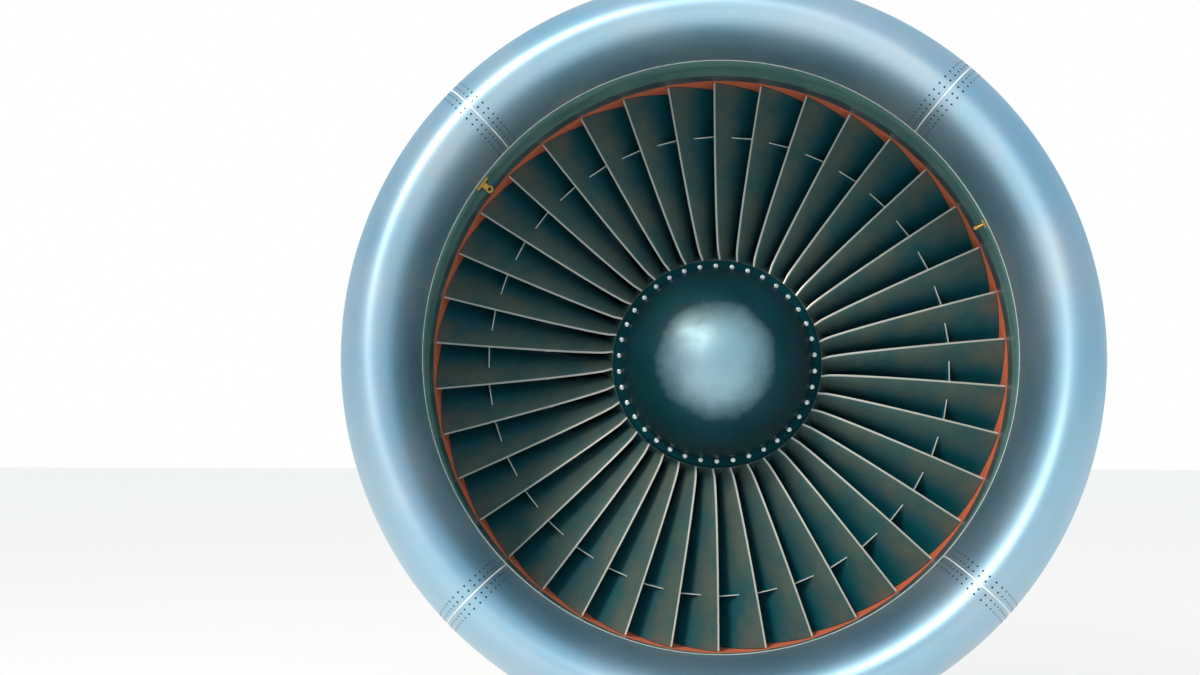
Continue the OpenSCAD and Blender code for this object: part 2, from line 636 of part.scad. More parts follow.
// Core cases
case_wall = 12;
module compressor_case_half(up) {
  y0 = core_y0 + seat;
  rotate([0, up ? 0 : 180, 0]) {
    sector(-89.99, 89.99) polygon([[hpc_case(y0), y0], [hpc_case(y0) + 26, y0], [hpc_case(y0) + 26, y0 + 12],
      [hpc_case(y0 + 12) + case_wall, y0 + 12], [hpc_case(1500) + case_wall, 1494],
      [hpc_case(1500) + 34, 1494], [hpc_case(1500) + 34, 1510], [hpc_case(1510) + case_wall, 1510],
      [hpc_case(hpc_y1) + case_wall, hpc_y1 - 12], [hpc_case(hpc_y1) + 34, hpc_y1 - 12],
      [hpc_case(hpc_y1) + 34, hpc_y1 - seat], [hpc_case(hpc_y1), hpc_y1 - seat]]);
    for (s = [-1, 1]) translate([0, 0, 0.2]) linear_extrude(height = 11)
      polygon([[s * (hpc_case(y0) + 6), y0 + 20], [s * (hpc_case(y0) + 44), y0 + 20],
        [s * (hpc_case(hpc_y1) + 44), hpc_y1 - 20], [s * (hpc_case(hpc_y1) + 6), hpc_y1 - 20]]);
  }
}

module compressor_case_upper() {
  color("#8e9794") place() compressor_case_half(true);
}

module compressor_case_lower() {
  color("#8e9794") place() compressor_case_half(false);
}

comb_r = 470;
nozzle_station = 2100;
module combustor_case() {
  color("#9c8f80") place() difference() {
    union() {
      ring() polygon([[hpc_case(hpc_y1), hpc_y1], [hpc_case(hpc_y1) + 34, hpc_y1],
        [hpc_case(hpc_y1) + 34, hpc_y1 + 12], [hpc_case(hpc_y1) + 14, hpc_y1 + 14],
        [comb_r, 2072], [comb_r, comb_y1 - 12], [comb_r + 24, comb_y1 - 12],
        [comb_r + 24, comb_y1], [hpt_case_r, comb_y1], [hpt_case_r, comb_y1 - 8], [comb_r - 8, comb_y1 - 8],
        [comb_r - 8, 2076], [hpc_case(hpc_y1), hpc_y1 + 20]]);
      ring() polygon([[core_shaft_r + 40, hpc_y1 + 12], [hpc_hub1 - 30, hpc_y1 + 12], [hpc_hub1 - 30, hpc_y1 + 60],
        [core_shaft_r + 50, hpc_y1 + 75], [core_shaft_r + 50, comb_y1], [core_shaft_r + 40, comb_y1]]);
      for (i = [0:11]) clock(30 * i) translate([hpc_hub1 - 40, -4, hpc_y1 + 14])
        cube([hpc_case(hpc_y1) + 6 - hpc_hub1 + 40, 8, 30]);
    }
    for (i = [0:nozzle_count - 1]) clock((i + 0.5) * 360 / nozzle_count)
      translate([comb_r - 30, 0, nozzle_station])
      rotate([0, 90, 0]) cylinder(r = 13, h = 60);
  }
}

module combustor_liner() {
  y1 = comb_y1 - 20;
  color("#a08d74") place() ring() polygon([[comb_r - 8 - seat, y1 - 6], [comb_r - 8 - seat, y1],
    [comb_r - 40, y1], [comb_r - 40, 2167], [comb_r - 72, 2142], [294, 2142], [266, 2167], [266, y1],
    [262, y1], [262, 2165], [292, 2138], [comb_r - 70, 2138], [comb_r - 36, 2165], [comb_r - 36, y1 - 6]]);
}

// Fuel nozzles through the combustor's case, and the pipe round it that feeds them
module fuel_nozzles() {
  color("#b9b3a6") place() {
    for (i = [0:nozzle_count - 1]) clock((i + 0.5) * 360 / nozzle_count) translate([0, 0, nozzle_station]) {
      translate([345, 0, 0]) rotate([0, 90, 0]) cylinder(r = 9, h = comb_r + 24 - 345);
      translate([comb_r + seat, -18, -18]) cube([8, 36, 36]);
      translate([345, 0, -9]) cylinder(r = 11, h = 2138 - nozzle_station + 9 - seat);
    }
    ring() translate([comb_r + 24 + 9 + seat, nozzle_station]) circle(r = 9);
  }
}

module core_turbine_case() {
  color("#97836c") place() {
    ring() polygon([[hpt_case_r, comb_y1 + seat], [comb_r + 24, comb_y1 + seat], [comb_r + 24, comb_y1 + 12],
      [hpt_case_r + 14, comb_y1 + 14], [hpt_case_r + 14, hpt_y1 - 14], [lpt_case_r + 30, hpt_y1 - 12],
      [lpt_case_r + 30, hpt_y1 - seat], [hpt_case_r, hpt_y1 - seat]]);
    for (k = [0:1]) row(30, hpt_hub_r + 5, hpt_case_r - seat, 2490 + 112 * k, 38, 22, -6, 10);
  }
}

module fan_turbine_case() {
  color("#8f7c68") place() {
    ring() polygon([[lpt(hpt_y1), hpt_y1], [lpt(hpt_y1) + 30, hpt_y1], [lpt(hpt_y1) + 30, hpt_y1 + 12],
      [lpt(hpt_y1 + 12) + 10, hpt_y1 + 12], [lpt(lpt_y1 - 12) + 10, lpt_y1 - 12], [lpt(lpt_y1) + 18, lpt_y1 - 12],
      [lpt(lpt_y1) + 18, lpt_y1 - seat], [lpt(lpt_y1), lpt_y1 - seat]]);
    for (k = [0:3]) let (y = 2802 + 130 * k) row(30, lpt_hub_r + 6, lpt(y) - seat, y, 44, 24, -7, 9);
  }
}

// The turbine rear frame's outer ring and its hub
trf_r = lpt(lpt_y1);
trf_hub_wall = 8;
module turbine_rear_frame() {
  color("#85786a") place() {
    ring() polygon([[trf_r, lpt_y1], [trf_r + 18, lpt_y1], [trf_r + 18, lpt_y1 + 12], [trf_r + 8, lpt_y1 + 14],
      [trf_r + 8, trf_y1 - 14], [trf_r + 16, trf_y1 - 12], [trf_r + 16, trf_y1 - seat], [trf_r, trf_y1 - seat]]);
    ring() polygon([[130, 3380], [142, 3380], [142, 3402], [lpt_hub_r, 3402], [lpt_hub_r, 3345],
      [lpt_hub_r + trf_hub_wall, 3345], [lpt_hub_r + trf_hub_wall, trf_y1 - seat], [lpt_hub_r, trf_y1 - seat],
      [lpt_hub_r, 3416], [142, 3416], [142, 3436], [130, 3436]]);
  }
}

// Struts across the hot gas path, seated between the hub and the outer ring
module turbine_frame_struts() {
  r0 = lpt_hub_r + trf_hub_wall + seat;
  r1 = trf_r - seat;
  color("#85786a") place() intersection() {
    for (i = [0:11]) clock(30 * i + 15) translate([r0 - 3, 0, 0]) rotate([0, 90, 0]) rotate([0, 0, 180])
      linear_extrude(height = r1 + 6 - r0)
      polygon([[3375, 0], [3400, 9], [3470, 8], [3525, 0], [3470, -8], [3400, -9]]);
    ring() translate([r0, 3350]) square([r1 - r0, 200]);
  }
}

core_wall = 10;
core_exit_r = 560;
rear_land_r = core(trf_y1 + 12) - core_wall - seat;
function nozzle_line(q) = trf_r + 2 - (trf_r - core_exit_r) * (1 - cos(180 * q)) / 2;
module exhaust_nozzle() {
  y0 = trf_y1 + 14;
  y1 = core_nozzle_y;
  color("#7c6f63") place() ring() polygon(concat(
    [[trf_r, trf_y1], [rear_land_r, trf_y1], [rear_land_r, trf_y1 + 12], [trf_r + 6, y0]],
    [for (q = steps(0.125, 1, 7)) [nozzle_line(q) + 4, y0 + (y1 - y0) * q]],
    [for (q = steps(1, 0.125, 7)) [nozzle_line(q), y0 + (y1 - y0) * q]]
  ));
}

module exhaust_plug() {
  r0 = lpt_hub_r + 8;
  h = plug_y - trf_y1;
  color("#6e645b") place() ring() polygon(concat(
    [[r0 - 20, trf_y1], [r0, trf_y1]],
    [for (i = [1:10]) let (q = i / 10) [r0 * (cos(90 * pow(q, 1.15))), trf_y1 + h * q]],
    [[0, plug_y - 14]],
    [for (i = [9:-1:1]) let (q = i / 10) [max(0, r0 * (cos(90 * pow(q, 1.15))) - 6), trf_y1 + (h - 10) * q]],
    [[r0 - 6, trf_y1 + 8], [r0 - 20, trf_y1 + 8]]
  ));
}

core_end = trf_y1 + 40;
module core_cowl(left) {
  side(left) sector(slot_angle, 179.95) polygon(concat(
    line_core(core_y0 + 3, core_end, 14), flip(line_core(core_y0 + 3, core_end, 14, -core_wall))));
}

module core_cowl_left() {
  color("#8b9092") place() core_cowl(true);
}

module core_cowl_right() {
  color("#8b9092") place() core_cowl(false);
}

// Accessories under the fan case
rib_r = duct_r + 52;
module accessory_gearbox() {
  color("#7f8a78") place() difference() {
    union() {
      sector(152, 208) polygon([[rib_r + seat, 190], [rib_r + 90, 200], [rib_r + 90, 300], [rib_r + seat, 320]]);
      clock(180) translate([rib_r + 88, 0, 186]) cylinder(r = 62, h = 130);
      clock(166) translate([rib_r + 84, 0, 192]) cylinder(r = 60, h = 124);
      clock(194) translate([rib_r + 84, 0, 192]) cylinder(r = 55, h = 124);
    }
    ring() translate([0, 100]) square([rib_r + seat, 400]);
  }
}

module starter() {
  color("#9aa0a2") place() clock(180) translate([rib_r + 88, 0, 0]) {
    translate([0, 0, 60]) cylinder(r = 58, h = 90);
    translate([0, 0, 150]) cylinder(r = 66, h = 36 - seat);
    translate([0, 0, 30]) cylinder(r = 34, h = 40);
  }
}

module generator() {
  color("#8f9699") place() clock(166) translate([rib_r + 84, 0, 316 + seat]) {
    cylinder(r = 68, h = 24);
    translate([0, 0, 24]) cylinder(r = 62, h = 150);
    translate([0, 0, 174]) cylinder(r = 48, h = 20);
  }
}

module oil_tank() {
  color("#a9aeb0") place() {
    sector(72, 104) polygon([[rib_r + seat, 60], [rib_r + 110, 70], [rib_r + 120, 90], [rib_r + 120, 300],
      [rib_r + 110, 320], [rib_r + seat, 330]]);
    clock(74) translate([rib_r + 50, -20, 190]) rotate([90, 0, 0]) cylinder(r = 28, h = 40);
  }
}

// Mounts
fm_pad_x = fm_span_x + 80;
fm_pad_y = fm_span_y + 70;
module forward_mount() {
  color("#5c6468") place() translate([0, fm_y, 0]) difference() {
    union() {
      translate([-fm_pad_x / 2, -fm_pad_y / 2, fm_z - 30]) cube([fm_pad_x, fm_pad_y, 30]);
      translate([-fm_pad_x / 2 + 30, -35, duct_r + 10]) cube([fm_pad_x - 60, 70, fm_z - duct_r - 20]);
    }
    translate([0, -fm_pad_y, 0]) rotate([-90, 0, 0]) cylinder(r = duct_r + 24 + seat, h = 2 * fm_pad_y);
    for (x = [-1, 1], y = [-1, 1]) translate([x * fm_span_x / 2, y * fm_span_y / 2, fm_z - 40])
      cylinder(r = fm_hole_r, h = 50);
  }
}

am_y = 3450;
am_z = trf_r + 95;
module aft_mount() {
  color("#5c6468") place() translate([0, am_y, 0]) difference() {
    union() {
      translate([-75, -40, trf_r - 20]) cube([150, 80, 60]);
      for (x = [-1, 1]) translate([x * 50, 0, 0]) {
        translate([-15, -35, trf_r + 30]) cube([30, 70, am_z - trf_r - 30]);
        translate([-15, 0, am_z]) rotate([0, 90, 0]) cylinder(r = 35, h = 30);
      }
    }
    translate([0, -60, 0]) rotate([-90, 0, 0]) cylinder(r = trf_r + 8 + seat, h = 120);
    translate([-100, 0, am_z]) rotate([0, 90, 0]) cylinder(r = am_hole_r, h = 200);
  }
}

// A hinge fitting on the hinge line h. It seats under the skin, or against the beam if deep is larger.
lug_r = 24;
lug_w = 24;
lug_gap = 0.016;
module lug(h, y, reach, deep) {
  skin_z = sqrt(pow(outer(y), 2) - pow(h[0] + reach, 2));
  low = min(skin_z - 48, h[1] - 16);
  difference() {
    union() {
      translate([h[0], y, h[1]]) rotate([-90, 0, 0]) cylinder(r = lug_r, h = lug_w);
      translate([h[0], y, low]) cube([reach, lug_w, max(skin_z, h[1] + 16) - low]);
    }
    translate([h[0], y - 1, h[1]]) rotate([-90, 0, 0]) cylinder(r = hinge_hole_r, h = lug_w + 2);
    sector(slot_angle - lug_gap, slot_angle + 8) polygon([[outer(y - 1) - deep, y - 1], [outer(y) + 60, y - 1],
      [outer(y) + 60, y + lug_w + 1], [outer(y + lug_w + 1) - deep, y + lug_w + 1]]);
  }
}

// Fan cowl doors
cowl_end = 179.95;
module fan_cowl(left) {
  rib = 30;
  y0 = cowl_y0;
  y1 = cowl_y1;
  side(left) {
    sector(slot_angle, cowl_end) polygon(concat(
      line_out(y0, y1, 12),
      flip(line_out(660, y1, 3, -cowl_wall)),
      [[outer(660) - cowl_wall - rib, 660], [outer(660) - cowl_wall - rib, 648], [outer(648) - cowl_wall, 648]],
      flip(line_out(-40, 620, 7, -cowl_wall)),
      [[outer(-40) - cowl_wall - rib, -44], [outer(-40) - cowl_wall - rib, -56], [outer(-56) - cowl_wall, -56]],
      flip(line_out(y0, -70, 1, -cowl_wall))
    ));
    for (y = [40, 400, 760]) lug(cowl_hinge, y, 70, cowl_wall + seat);
  }
}

module fan_cowl_left() {
  color("#a9b7c0") place() fan_cowl(true);
}

module fan_cowl_right() {
  color("#a9b7c0") place() fan_cowl(false);
}

// Thrust reverser, one half on each side
rev_y0 = cowl_y1 + seat;
sleeve_y0 = 990;
hinge_y = sleeve_y0 + 10;
hinge_r = bypass_r + 6;
beam = 1.4;
beam_r = duct_r - 9;
beam_a0 = slot_angle;
beam_step = 0.06;
beam_b1 = 179.9;
cascade_r0 = duct_r + 22;
cascade_r1 = duct_r + 84;
cascade_y1 = 1390;
actuator_angles = [60, 120];
actuator_r = duct_r + 54;
door_angles = [32.25, 72.75, 113.25, 153.75];
clevis_u = 42;
module reverser_frame(left) {
  side(left) {
    sector(beam_a0, beam_b1 - beam_step) polygon([[outer(rev_y0), rev_y0],
      [outer(sleeve_y0 - 5), sleeve_y0 - 5],
      [duct_r + 2, sleeve_y0 - 5], [bypass_r + 24, sleeve_y0 + 12], [bypass_r + 16, sleeve_y0 + 12],
      [duct_r, frame_y1 + 3], [duct_r + 12, frame_y1 + 3], [duct_r + 14, sleeve_y0 - 17],
      [outer(sleeve_y0 - 5) - 12, sleeve_y0 - 17], [outer(sleeve_y0 - 5) - 12, groove_y + blade_w - seat],
      [groove_r + seat, groove_y + blade_w - seat], [groove_r + seat, rev_y0]]);
    for (a = [beam_a0, beam_b1 - beam]) sector(a, a + beam)
      polygon(concat([[beam_r, sleeve_y0 - 8]], line_out(sleeve_y0 - 8, nozzle_y - 30, 8, -2),
        [[beam_r, nozzle_y - 30]]));
    for (y = [960, 1260, 1540]) lug(rev_hinge, y, 28, 400);
    for (s = [[12, 56], [64, 116], [124, 172]]) {
      sector(s[0], s[1]) for (k = [0:7]) let (y = sleeve_y0 + 42 + 45 * k)
        polygon([[cascade_r0, y], [cascade_r0 + 30, y - 8], [cascade_r1, y - 30], [cascade_r1, y - 27],
          [cascade_r0 + 30, y - 5], [cascade_r0, y + 3]]);
      sector(s[0], s[1]) translate([cascade_r0 - 2, cascade_y1 - 10]) square([cascade_r1 - cascade_r0 + 4, 12]);
      n = 3;
      for (i = [0:n]) clock(s[0] + 0.2 + (s[1] - s[0] - 0.4) * i / n)
        translate([cascade_r0, -2, sleeve_y0 - 8]) cube([cascade_r1 - cascade_r0, 4, cascade_y1 - sleeve_y0 + 2]);
    }
    for (a = actuator_angles) clock(a) translate([actuator_r, 0, sleeve_y0 - 8]) difference() {
      cylinder(r = 24, h = sleeve_travel + 40);
      translate([0, 0, 8]) cylinder(r = 10.5, h = sleeve_travel + 40);
    }
  }
}

module reverser_frame_left() {
  color("#7d8a90") place() reverser_frame(true);
}

module reverser_frame_right() {
  color("#7d8a90") place() reverser_frame(false);
}

sleeve_skin = 12;
rod_end = sleeve_y0 - 8 + sleeve_travel + 40 + 22;
module reverser_sleeve(left) {
  a0 = beam_a0 + beam + 0.03;
  a1 = beam_b1 - beam - 0.03;
  pocket_r = bypass_r + blocker_wall + 2;
  pocket_y = hinge_y + blocker_len + 14;
  side(left) {
    sector(a0, a1) polygon(concat(
      line_out(sleeve_y0, nozzle_y, 12),
      [[nozzle_r - 14, nozzle_y], [bypass_r, nozzle_y - 150], [bypass_r, pocket_y + 6], [pocket_r, pocket_y],
       [pocket_r, hinge_y + 15], [pocket_r + 8, hinge_y + 15], [pocket_r + 8, nozzle_y - 180]],
      flip(line_out(sleeve_y0, nozzle_y - 180, 9, -sleeve_skin))
    ));
    for (a = actuator_angles) clock(a) {
      translate([pocket_r + 4, -20, rod_end])
        cube([outer(rod_end + 20) - sleeve_skin / 2 - pocket_r - 4, 40, 20]);
      translate([actuator_r, 0, sleeve_y0 + 5]) cylinder(r = 10, h = rod_end - sleeve_y0);
    }
    for (a = door_angles) clock(a) translate([hinge_r, 0, hinge_y]) {
      for (s = [-1, 1]) translate([-6, s * clevis_u - 6, -6]) {
        cube([13, 12, 30]);
        translate([11, 0, 22]) cube([pocket_r + 4 - hinge_r - 5, 12, 8]);
      }
      translate([0, -46, 0]) rotate([-90, 0, 0]) cylinder(r = 4, h = 92);
    }
  }
}

module reverser_sleeve_left() {
  color("#a3b0b8") place() reverser_sleeve(true);
}

module reverser_sleeve_right() {
  color("#a3b0b8") place() reverser_sleeve(false);
}

module blocker_door(left, i) {
  a = door_angles[i - 1];
  w0 = 330;
  w1 = 245;
  color("#8e9aa1") place() side(left) {
    difference() {
      intersection() {
        sector(a - 22, a + 22) translate([bypass_r, hinge_y + 8]) square([blocker_wall, blocker_len]);
        clock(a) translate([hinge_r - 100, 0, hinge_y]) rotate([0, 90, 0]) rotate([0, 0, 180])
          linear_extrude(height = 200)
          polygon([[0, -w0], [blocker_len + 20, -w1], [blocker_len + 20, w1], [0, w0]]);
      }
      clock(a) for (s = [-1, 1]) translate([hinge_r - 20, s * clevis_u - 7.5, hinge_y]) cube([40, 15, 28]);
    }
    clock(a) translate([hinge_r, 0, hinge_y]) difference() {
      union() {
        translate([0, -34, 0]) rotate([-90, 0, 0]) cylinder(r = 8, h = 68);
        translate([-5, -34, 0]) cube([7, 68, 20]);
      }
      translate([0, -40, 0]) rotate([-90, 0, 0]) cylinder(r = 4.1, h = 80);
    }
  }
}

intake_lip_segments();
lip_splice_straps();
intake_bulkheads();
anti_ice_ring();
intake_outer_barrel();
intake_inner_barrel();
intake_flange_bolts();
inlet_probes();
spinner_dome();
spinner_ring();
spinner_bolts();
fan_disk();
fan_blades();
booster_rotor();
fan_shaft();
fan_turbine_rotor();
fan_case();
fan_rub_strip();
outlet_guide_vanes();
fan_frame();
fan_frame_struts();
splitter_nose();
bypass_inner_wall();
booster_case();
main_bearings();
compressor_rotor();
core_turbine_rotor();
compressor_case_upper();
compressor_case_lower();
combustor_case();
combustor_liner();
fuel_nozzles();
core_turbine_case();
fan_turbine_case();
turbine_rear_frame();
turbine_frame_struts();
exhaust_nozzle();
exhaust_plug();
core_cowl_left();
core_cowl_right();
accessory_gearbox();
starter();
generator();
oil_tank();
forward_mount();
aft_mount();
fan_cowl_left();
fan_cowl_right();
reverser_frame_left();
reverser_frame_right();
reverser_sleeve_left();
reverser_sleeve_right();
blocker_door(true, 1);  // blocker_door_left_1
blocker_door(true, 2);  // blocker_door_left_2
blocker_door(true, 3);  // blocker_door_left_3
blocker_door(true, 4);  // blocker_door_left_4
blocker_door(false, 1);  // blocker_door_right_1
blocker_door(false, 2);  // blocker_door_right_2
blocker_door(false, 3);  // blocker_door_right_3
blocker_door(false, 4);  // blocker_door_right_4
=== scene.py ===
import json
import math

import bmesh
import bpy
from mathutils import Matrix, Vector

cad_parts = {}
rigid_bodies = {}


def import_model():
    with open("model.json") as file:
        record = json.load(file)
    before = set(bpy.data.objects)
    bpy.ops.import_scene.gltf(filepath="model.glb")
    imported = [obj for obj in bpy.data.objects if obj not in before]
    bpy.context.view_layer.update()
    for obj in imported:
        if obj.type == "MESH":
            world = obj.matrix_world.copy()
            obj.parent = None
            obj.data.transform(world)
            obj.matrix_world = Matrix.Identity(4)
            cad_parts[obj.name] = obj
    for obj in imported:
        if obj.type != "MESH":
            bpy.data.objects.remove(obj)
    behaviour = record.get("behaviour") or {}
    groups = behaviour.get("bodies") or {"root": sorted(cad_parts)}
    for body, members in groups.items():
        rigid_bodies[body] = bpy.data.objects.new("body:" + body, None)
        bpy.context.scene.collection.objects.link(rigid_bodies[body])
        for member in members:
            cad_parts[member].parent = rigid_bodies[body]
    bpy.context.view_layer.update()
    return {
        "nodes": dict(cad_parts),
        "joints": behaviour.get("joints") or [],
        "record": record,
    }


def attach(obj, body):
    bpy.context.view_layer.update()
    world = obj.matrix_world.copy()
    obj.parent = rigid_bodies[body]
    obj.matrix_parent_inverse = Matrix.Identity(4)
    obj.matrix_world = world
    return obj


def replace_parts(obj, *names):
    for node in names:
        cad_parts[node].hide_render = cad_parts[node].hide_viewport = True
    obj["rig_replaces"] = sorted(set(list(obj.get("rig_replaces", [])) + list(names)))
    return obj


# The visual model of the engine: each piece rides on a body of the frame
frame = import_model()

# Sizes in metres, with stations along the engine from the fan's leading edges
SPIN = next(j for j in frame["joints"] if j["name"] == "fan_spin")
AXIS = Vector(SPIN["pos_m"])
FAN_R = 1.095
TIP_GAP = 0.003
DUCT_R = FAN_R + TIP_GAP
BLADES = 38
PITCH = 360 / BLADES
HUB_R = 0.400
HUB_RISE = 0.050
ROOT_CHORD = 0.175
TIP_CHORD = 0.235
ROOT_STAGGER = 13
TIP_STAGGER = 55
ROOT_THICK = 0.017
TIP_THICK = 0.006
SHROUD_R = 0.890
BLADE_Y = 0.068
LIP_FRONT_R = 1.100
THROAT_R = 0.985
THROAT_LEN = 0.230
LIP_SKIN = 0.004
LIP_OUTER_LEN = 0.420
LIP_INNER_LEN = 0.310
FLANGE_Y = -0.110
LIP_Y = FLANGE_Y - 1.000
THROAT_Y = LIP_Y + THROAT_LEN
LIP_OUT_Y = LIP_Y + LIP_OUTER_LEN
LIP_IN_Y = LIP_Y + LIP_INNER_LEN
WIDEST_Y = 0.100
OUTER_R = 1.350
NOZZLE_R = 1.092
NOZZLE_Y = 2.050
BARREL_WALL = 0.025
BARREL_SKIN = 0.005
FLANGE_R = DUCT_R + 0.052
SPINNER_H = 0.287
SEAMS = (42.0, 132.0, 225.0, 315.0)
LAND_Y = -0.078


def clock(a):
    """Radial and clockwise directions at a clock angle, seen from the front."""
    s, c = math.sin(math.radians(a)), math.cos(math.radians(a))
    return Vector((s, 0, c)), Vector((c, 0, -s))


def at(r, a, y):
    """A point at a radius, clock angle and station, in the row frame."""
    return AXIS + clock(a)[0] * r + Vector((0, y, 0))


def outer(y):
    """Radius of the nacelle's outside."""
    if y < WIDEST_Y:
        t = (WIDEST_Y - y) / (WIDEST_Y - LIP_Y)
        return LIP_FRONT_R + (OUTER_R - LIP_FRONT_R) * math.sqrt(max(0, 1 - t * t))
    return OUTER_R - (OUTER_R - NOZZLE_R) * ((y - WIDEST_Y) / (NOZZLE_Y - WIDEST_Y)) ** 2


def duct(y):
    """Radius of the intake's inside behind its throat."""
    turn = math.pi * (y - THROAT_Y) / (FLANGE_Y - THROAT_Y)
    return THROAT_R + (DUCT_R - THROAT_R) * (1 - math.cos(turn)) / 2


def steps(a, b, n):
    """Evenly spaced numbers from a to b, both included."""
    return [a + (b - a) * i / n for i in range(n + 1)]


def line(radius, a, b, n, out=0.0):
    """Points of a contour from station a to b, moved outwards."""
    return [(radius(y) + out, y) for y in steps(a, b, n)]


def lip_line(inset, y_out, y_in, n):
    """The lip's contour set in by a wall, from its outer rear edge round the front to its inner rear edge."""
    a = WIDEST_Y - LIP_Y - inset
    b = OUTER_R - LIP_FRONT_R - inset
    c = THROAT_LEN - inset
    d = LIP_FRONT_R - THROAT_R - inset
    end = math.acos((WIDEST_Y - y_out) / a)
    back = [(LIP_FRONT_R + b * math.sin(q), WIDEST_Y - a * math.cos(q)) for q in steps(end, 0, n)]
    quarter = steps(0, math.pi / 2, n // 2)
    inner = [(LIP_FRONT_R - d * math.sin(q), THROAT_Y - c * math.cos(q)) for q in quarter]
    return back + inner[1:] + line(duct, THROAT_Y, y_in, 6, inset)[1:]


# Finishes
class Finish:
    """A material whose nodes are added by short calls that return sockets."""

    def __init__(self, name, color, metallic, rough, **values):
        self.mat = bpy.data.materials.new(name)
        self.mat.use_nodes = True
        self.tree = self.mat.node_tree
        self.bsdf = self.tree.nodes["Principled BSDF"]
        self.set("Base Color", color)
        self.set("Metallic", metallic)
        self.set("Roughness", rough)
        for key, value in values.items():
            self.set(key.replace("_", " "), value)
        self.mat.diffuse_color = (*color, 1)

    def plug(self, socket, value):
        """Links another node's socket, or sets a value or a colour."""
        if isinstance(value, bpy.types.NodeSocket):
            self.tree.links.new(value, socket)
        elif socket.type == "RGBA":
            socket.default_value = (*value, 1)
        else:
            socket.default_value = value

    def set(self, name, value):
        """An input of the surface."""
        self.plug(self.bsdf.inputs[name], value)

    def add(self, kind, inputs=(), out=0, **options):
        """A node with its inputs and options set; returns one of its outputs."""
        made = self.tree.nodes.new("ShaderNode" + kind)
        for key, value in options.items():
            setattr(made, key, value)
        for key, value in dict(inputs).items():
            self.plug(made.inputs[key], value)
        return made.outputs[out]

    def own_place(self):
        """Coordinates in the row frame, in metres."""
        return self.add("TexCoord", out="Object")

    def noise(self, scale, detail=4, rough=0.55, coords=None):
        """Noise over the piece's own place, unless other coordinates are given."""
        where = coords or self.own_place()
        return self.add("TexNoise", {"Vector": where, "Scale": scale, "Detail": detail, "Roughness": rough})

    def cells(self, coords):
        """Distance to the nearest point of an even grid."""
        found = self.add("TexVoronoi", {"Vector": coords, "Scale": 1.0}, feature="F1")
        found.node.inputs["Randomness"].default_value = 0.0
        return found

    def remap(self, value, a, b, low=0.0, high=1.0):
        return self.add("MapRange", {0: value, 1: a, 2: b, 3: low, 4: high})

    def math(self, operation, a, b=0.0):
        return self.add("Math", {0: a, 1: b}, operation=operation)

    def mix(self, share, a, b):
        return self.add("Mix", {0: share, 6: a, 7: b}, out=2, data_type="RGBA", blend_type="MIX")

    def bump(self, height, strength=0.3, distance=0.001, normal=None):
        inputs = {"Height": height, "Strength": strength, "Distance": distance}
        if normal:
            inputs["Normal"] = normal
        return self.add("Bump", inputs)

    def uv(self):
        """The two parts of the piece's UV map: turns round the axis, and metres along the surface."""
        split = self.add("SeparateXYZ", {0: self.add("TexCoord", out="UV")}).node
        return split.outputs[0], split.outputs[1]

    def wrapped(self, turns, round_scale, along, along_scale):
        """Coordinates that follow the surface, scaled apart in its two directions."""
        x = self.math("MULTIPLY", turns, round_scale)
        y = self.math("MULTIPLY", along, along_scale)
        return self.add("CombineXYZ", {0: x, 1: y})

    def station(self):
        """The station along the engine, in the row frame."""
        return self.add("SeparateXYZ", {0: self.own_place()}).node.outputs[1]


def srgb(r, g, b):
    """A colour given as it looks on a screen, from 0 to 255."""
    return tuple((v / 255 / 12.92) if v <= 10 else ((v / 255 + 0.055) / 1.055) ** 2.4 for v in (r, g, b))


def lip_metal():
    """Polished skin with fine streaks round the axis, clouds, stains and shallow dents."""
    f = Finish("brushed_lip", srgb(154, 191, 210), 1.0, 0.46)
    turns, along = f.uv()
    streaks = f.noise(4.0, 5, 0.6, f.wrapped(turns, 3.0, along, 60.0))
    clouds = f.noise(2.2, 4, 0.5)
    warm = f.mix(f.remap(clouds, 0.42, 0.68), srgb(154, 191, 210), srgb(176, 194, 206))
    stain = f.noise(9.0, 6, 0.7)
    f.set("Base Color", f.mix(f.remap(stain, 0.66, 0.74, 0, 0.22), warm, srgb(150, 160, 168)))
    wear = f.math("ADD", f.remap(streaks, 0.3, 0.7, 0.0, 0.08), f.remap(clouds, 0.3, 0.7, 0.42, 0.52))
    f.set("Roughness", wear)
    dents = f.remap(f.noise(3.1, 2, 0.4), 0.45, 0.75)
    f.set("Normal", f.bump(streaks, 0.05, 0.0004, f.bump(dents, 0.12, 0.004)))
    return f.mat


def nacelle_paint():
    """Pale gloss paint with grime drawn out along the flow."""
    f = Finish("nacelle_paint", srgb(206, 214, 219), 0.0, 0.33, Coat_Weight=0.25, Coat_Roughness=0.2)
    turns, along = f.uv()
    dirt = f.noise(1.0, 6, 0.65, f.wrapped(turns, 90.0, along, 1.6))
    patches = f.noise(3.0, 5, 0.6)
    grime = f.math("MULTIPLY", f.remap(dirt, 0.5, 0.8), f.remap(patches, 0.4, 0.65))
    f.set("Base Color", f.mix(f.math("MULTIPLY", grime, 0.5), srgb(204, 212, 217), srgb(150, 152, 148)))
    f.set("Roughness", f.remap(patches, 0.3, 0.7, 0.28, 0.42))
    f.set("Normal", f.bump(f.noise(160, 2), 0.04, 0.0003))
    return f.mat


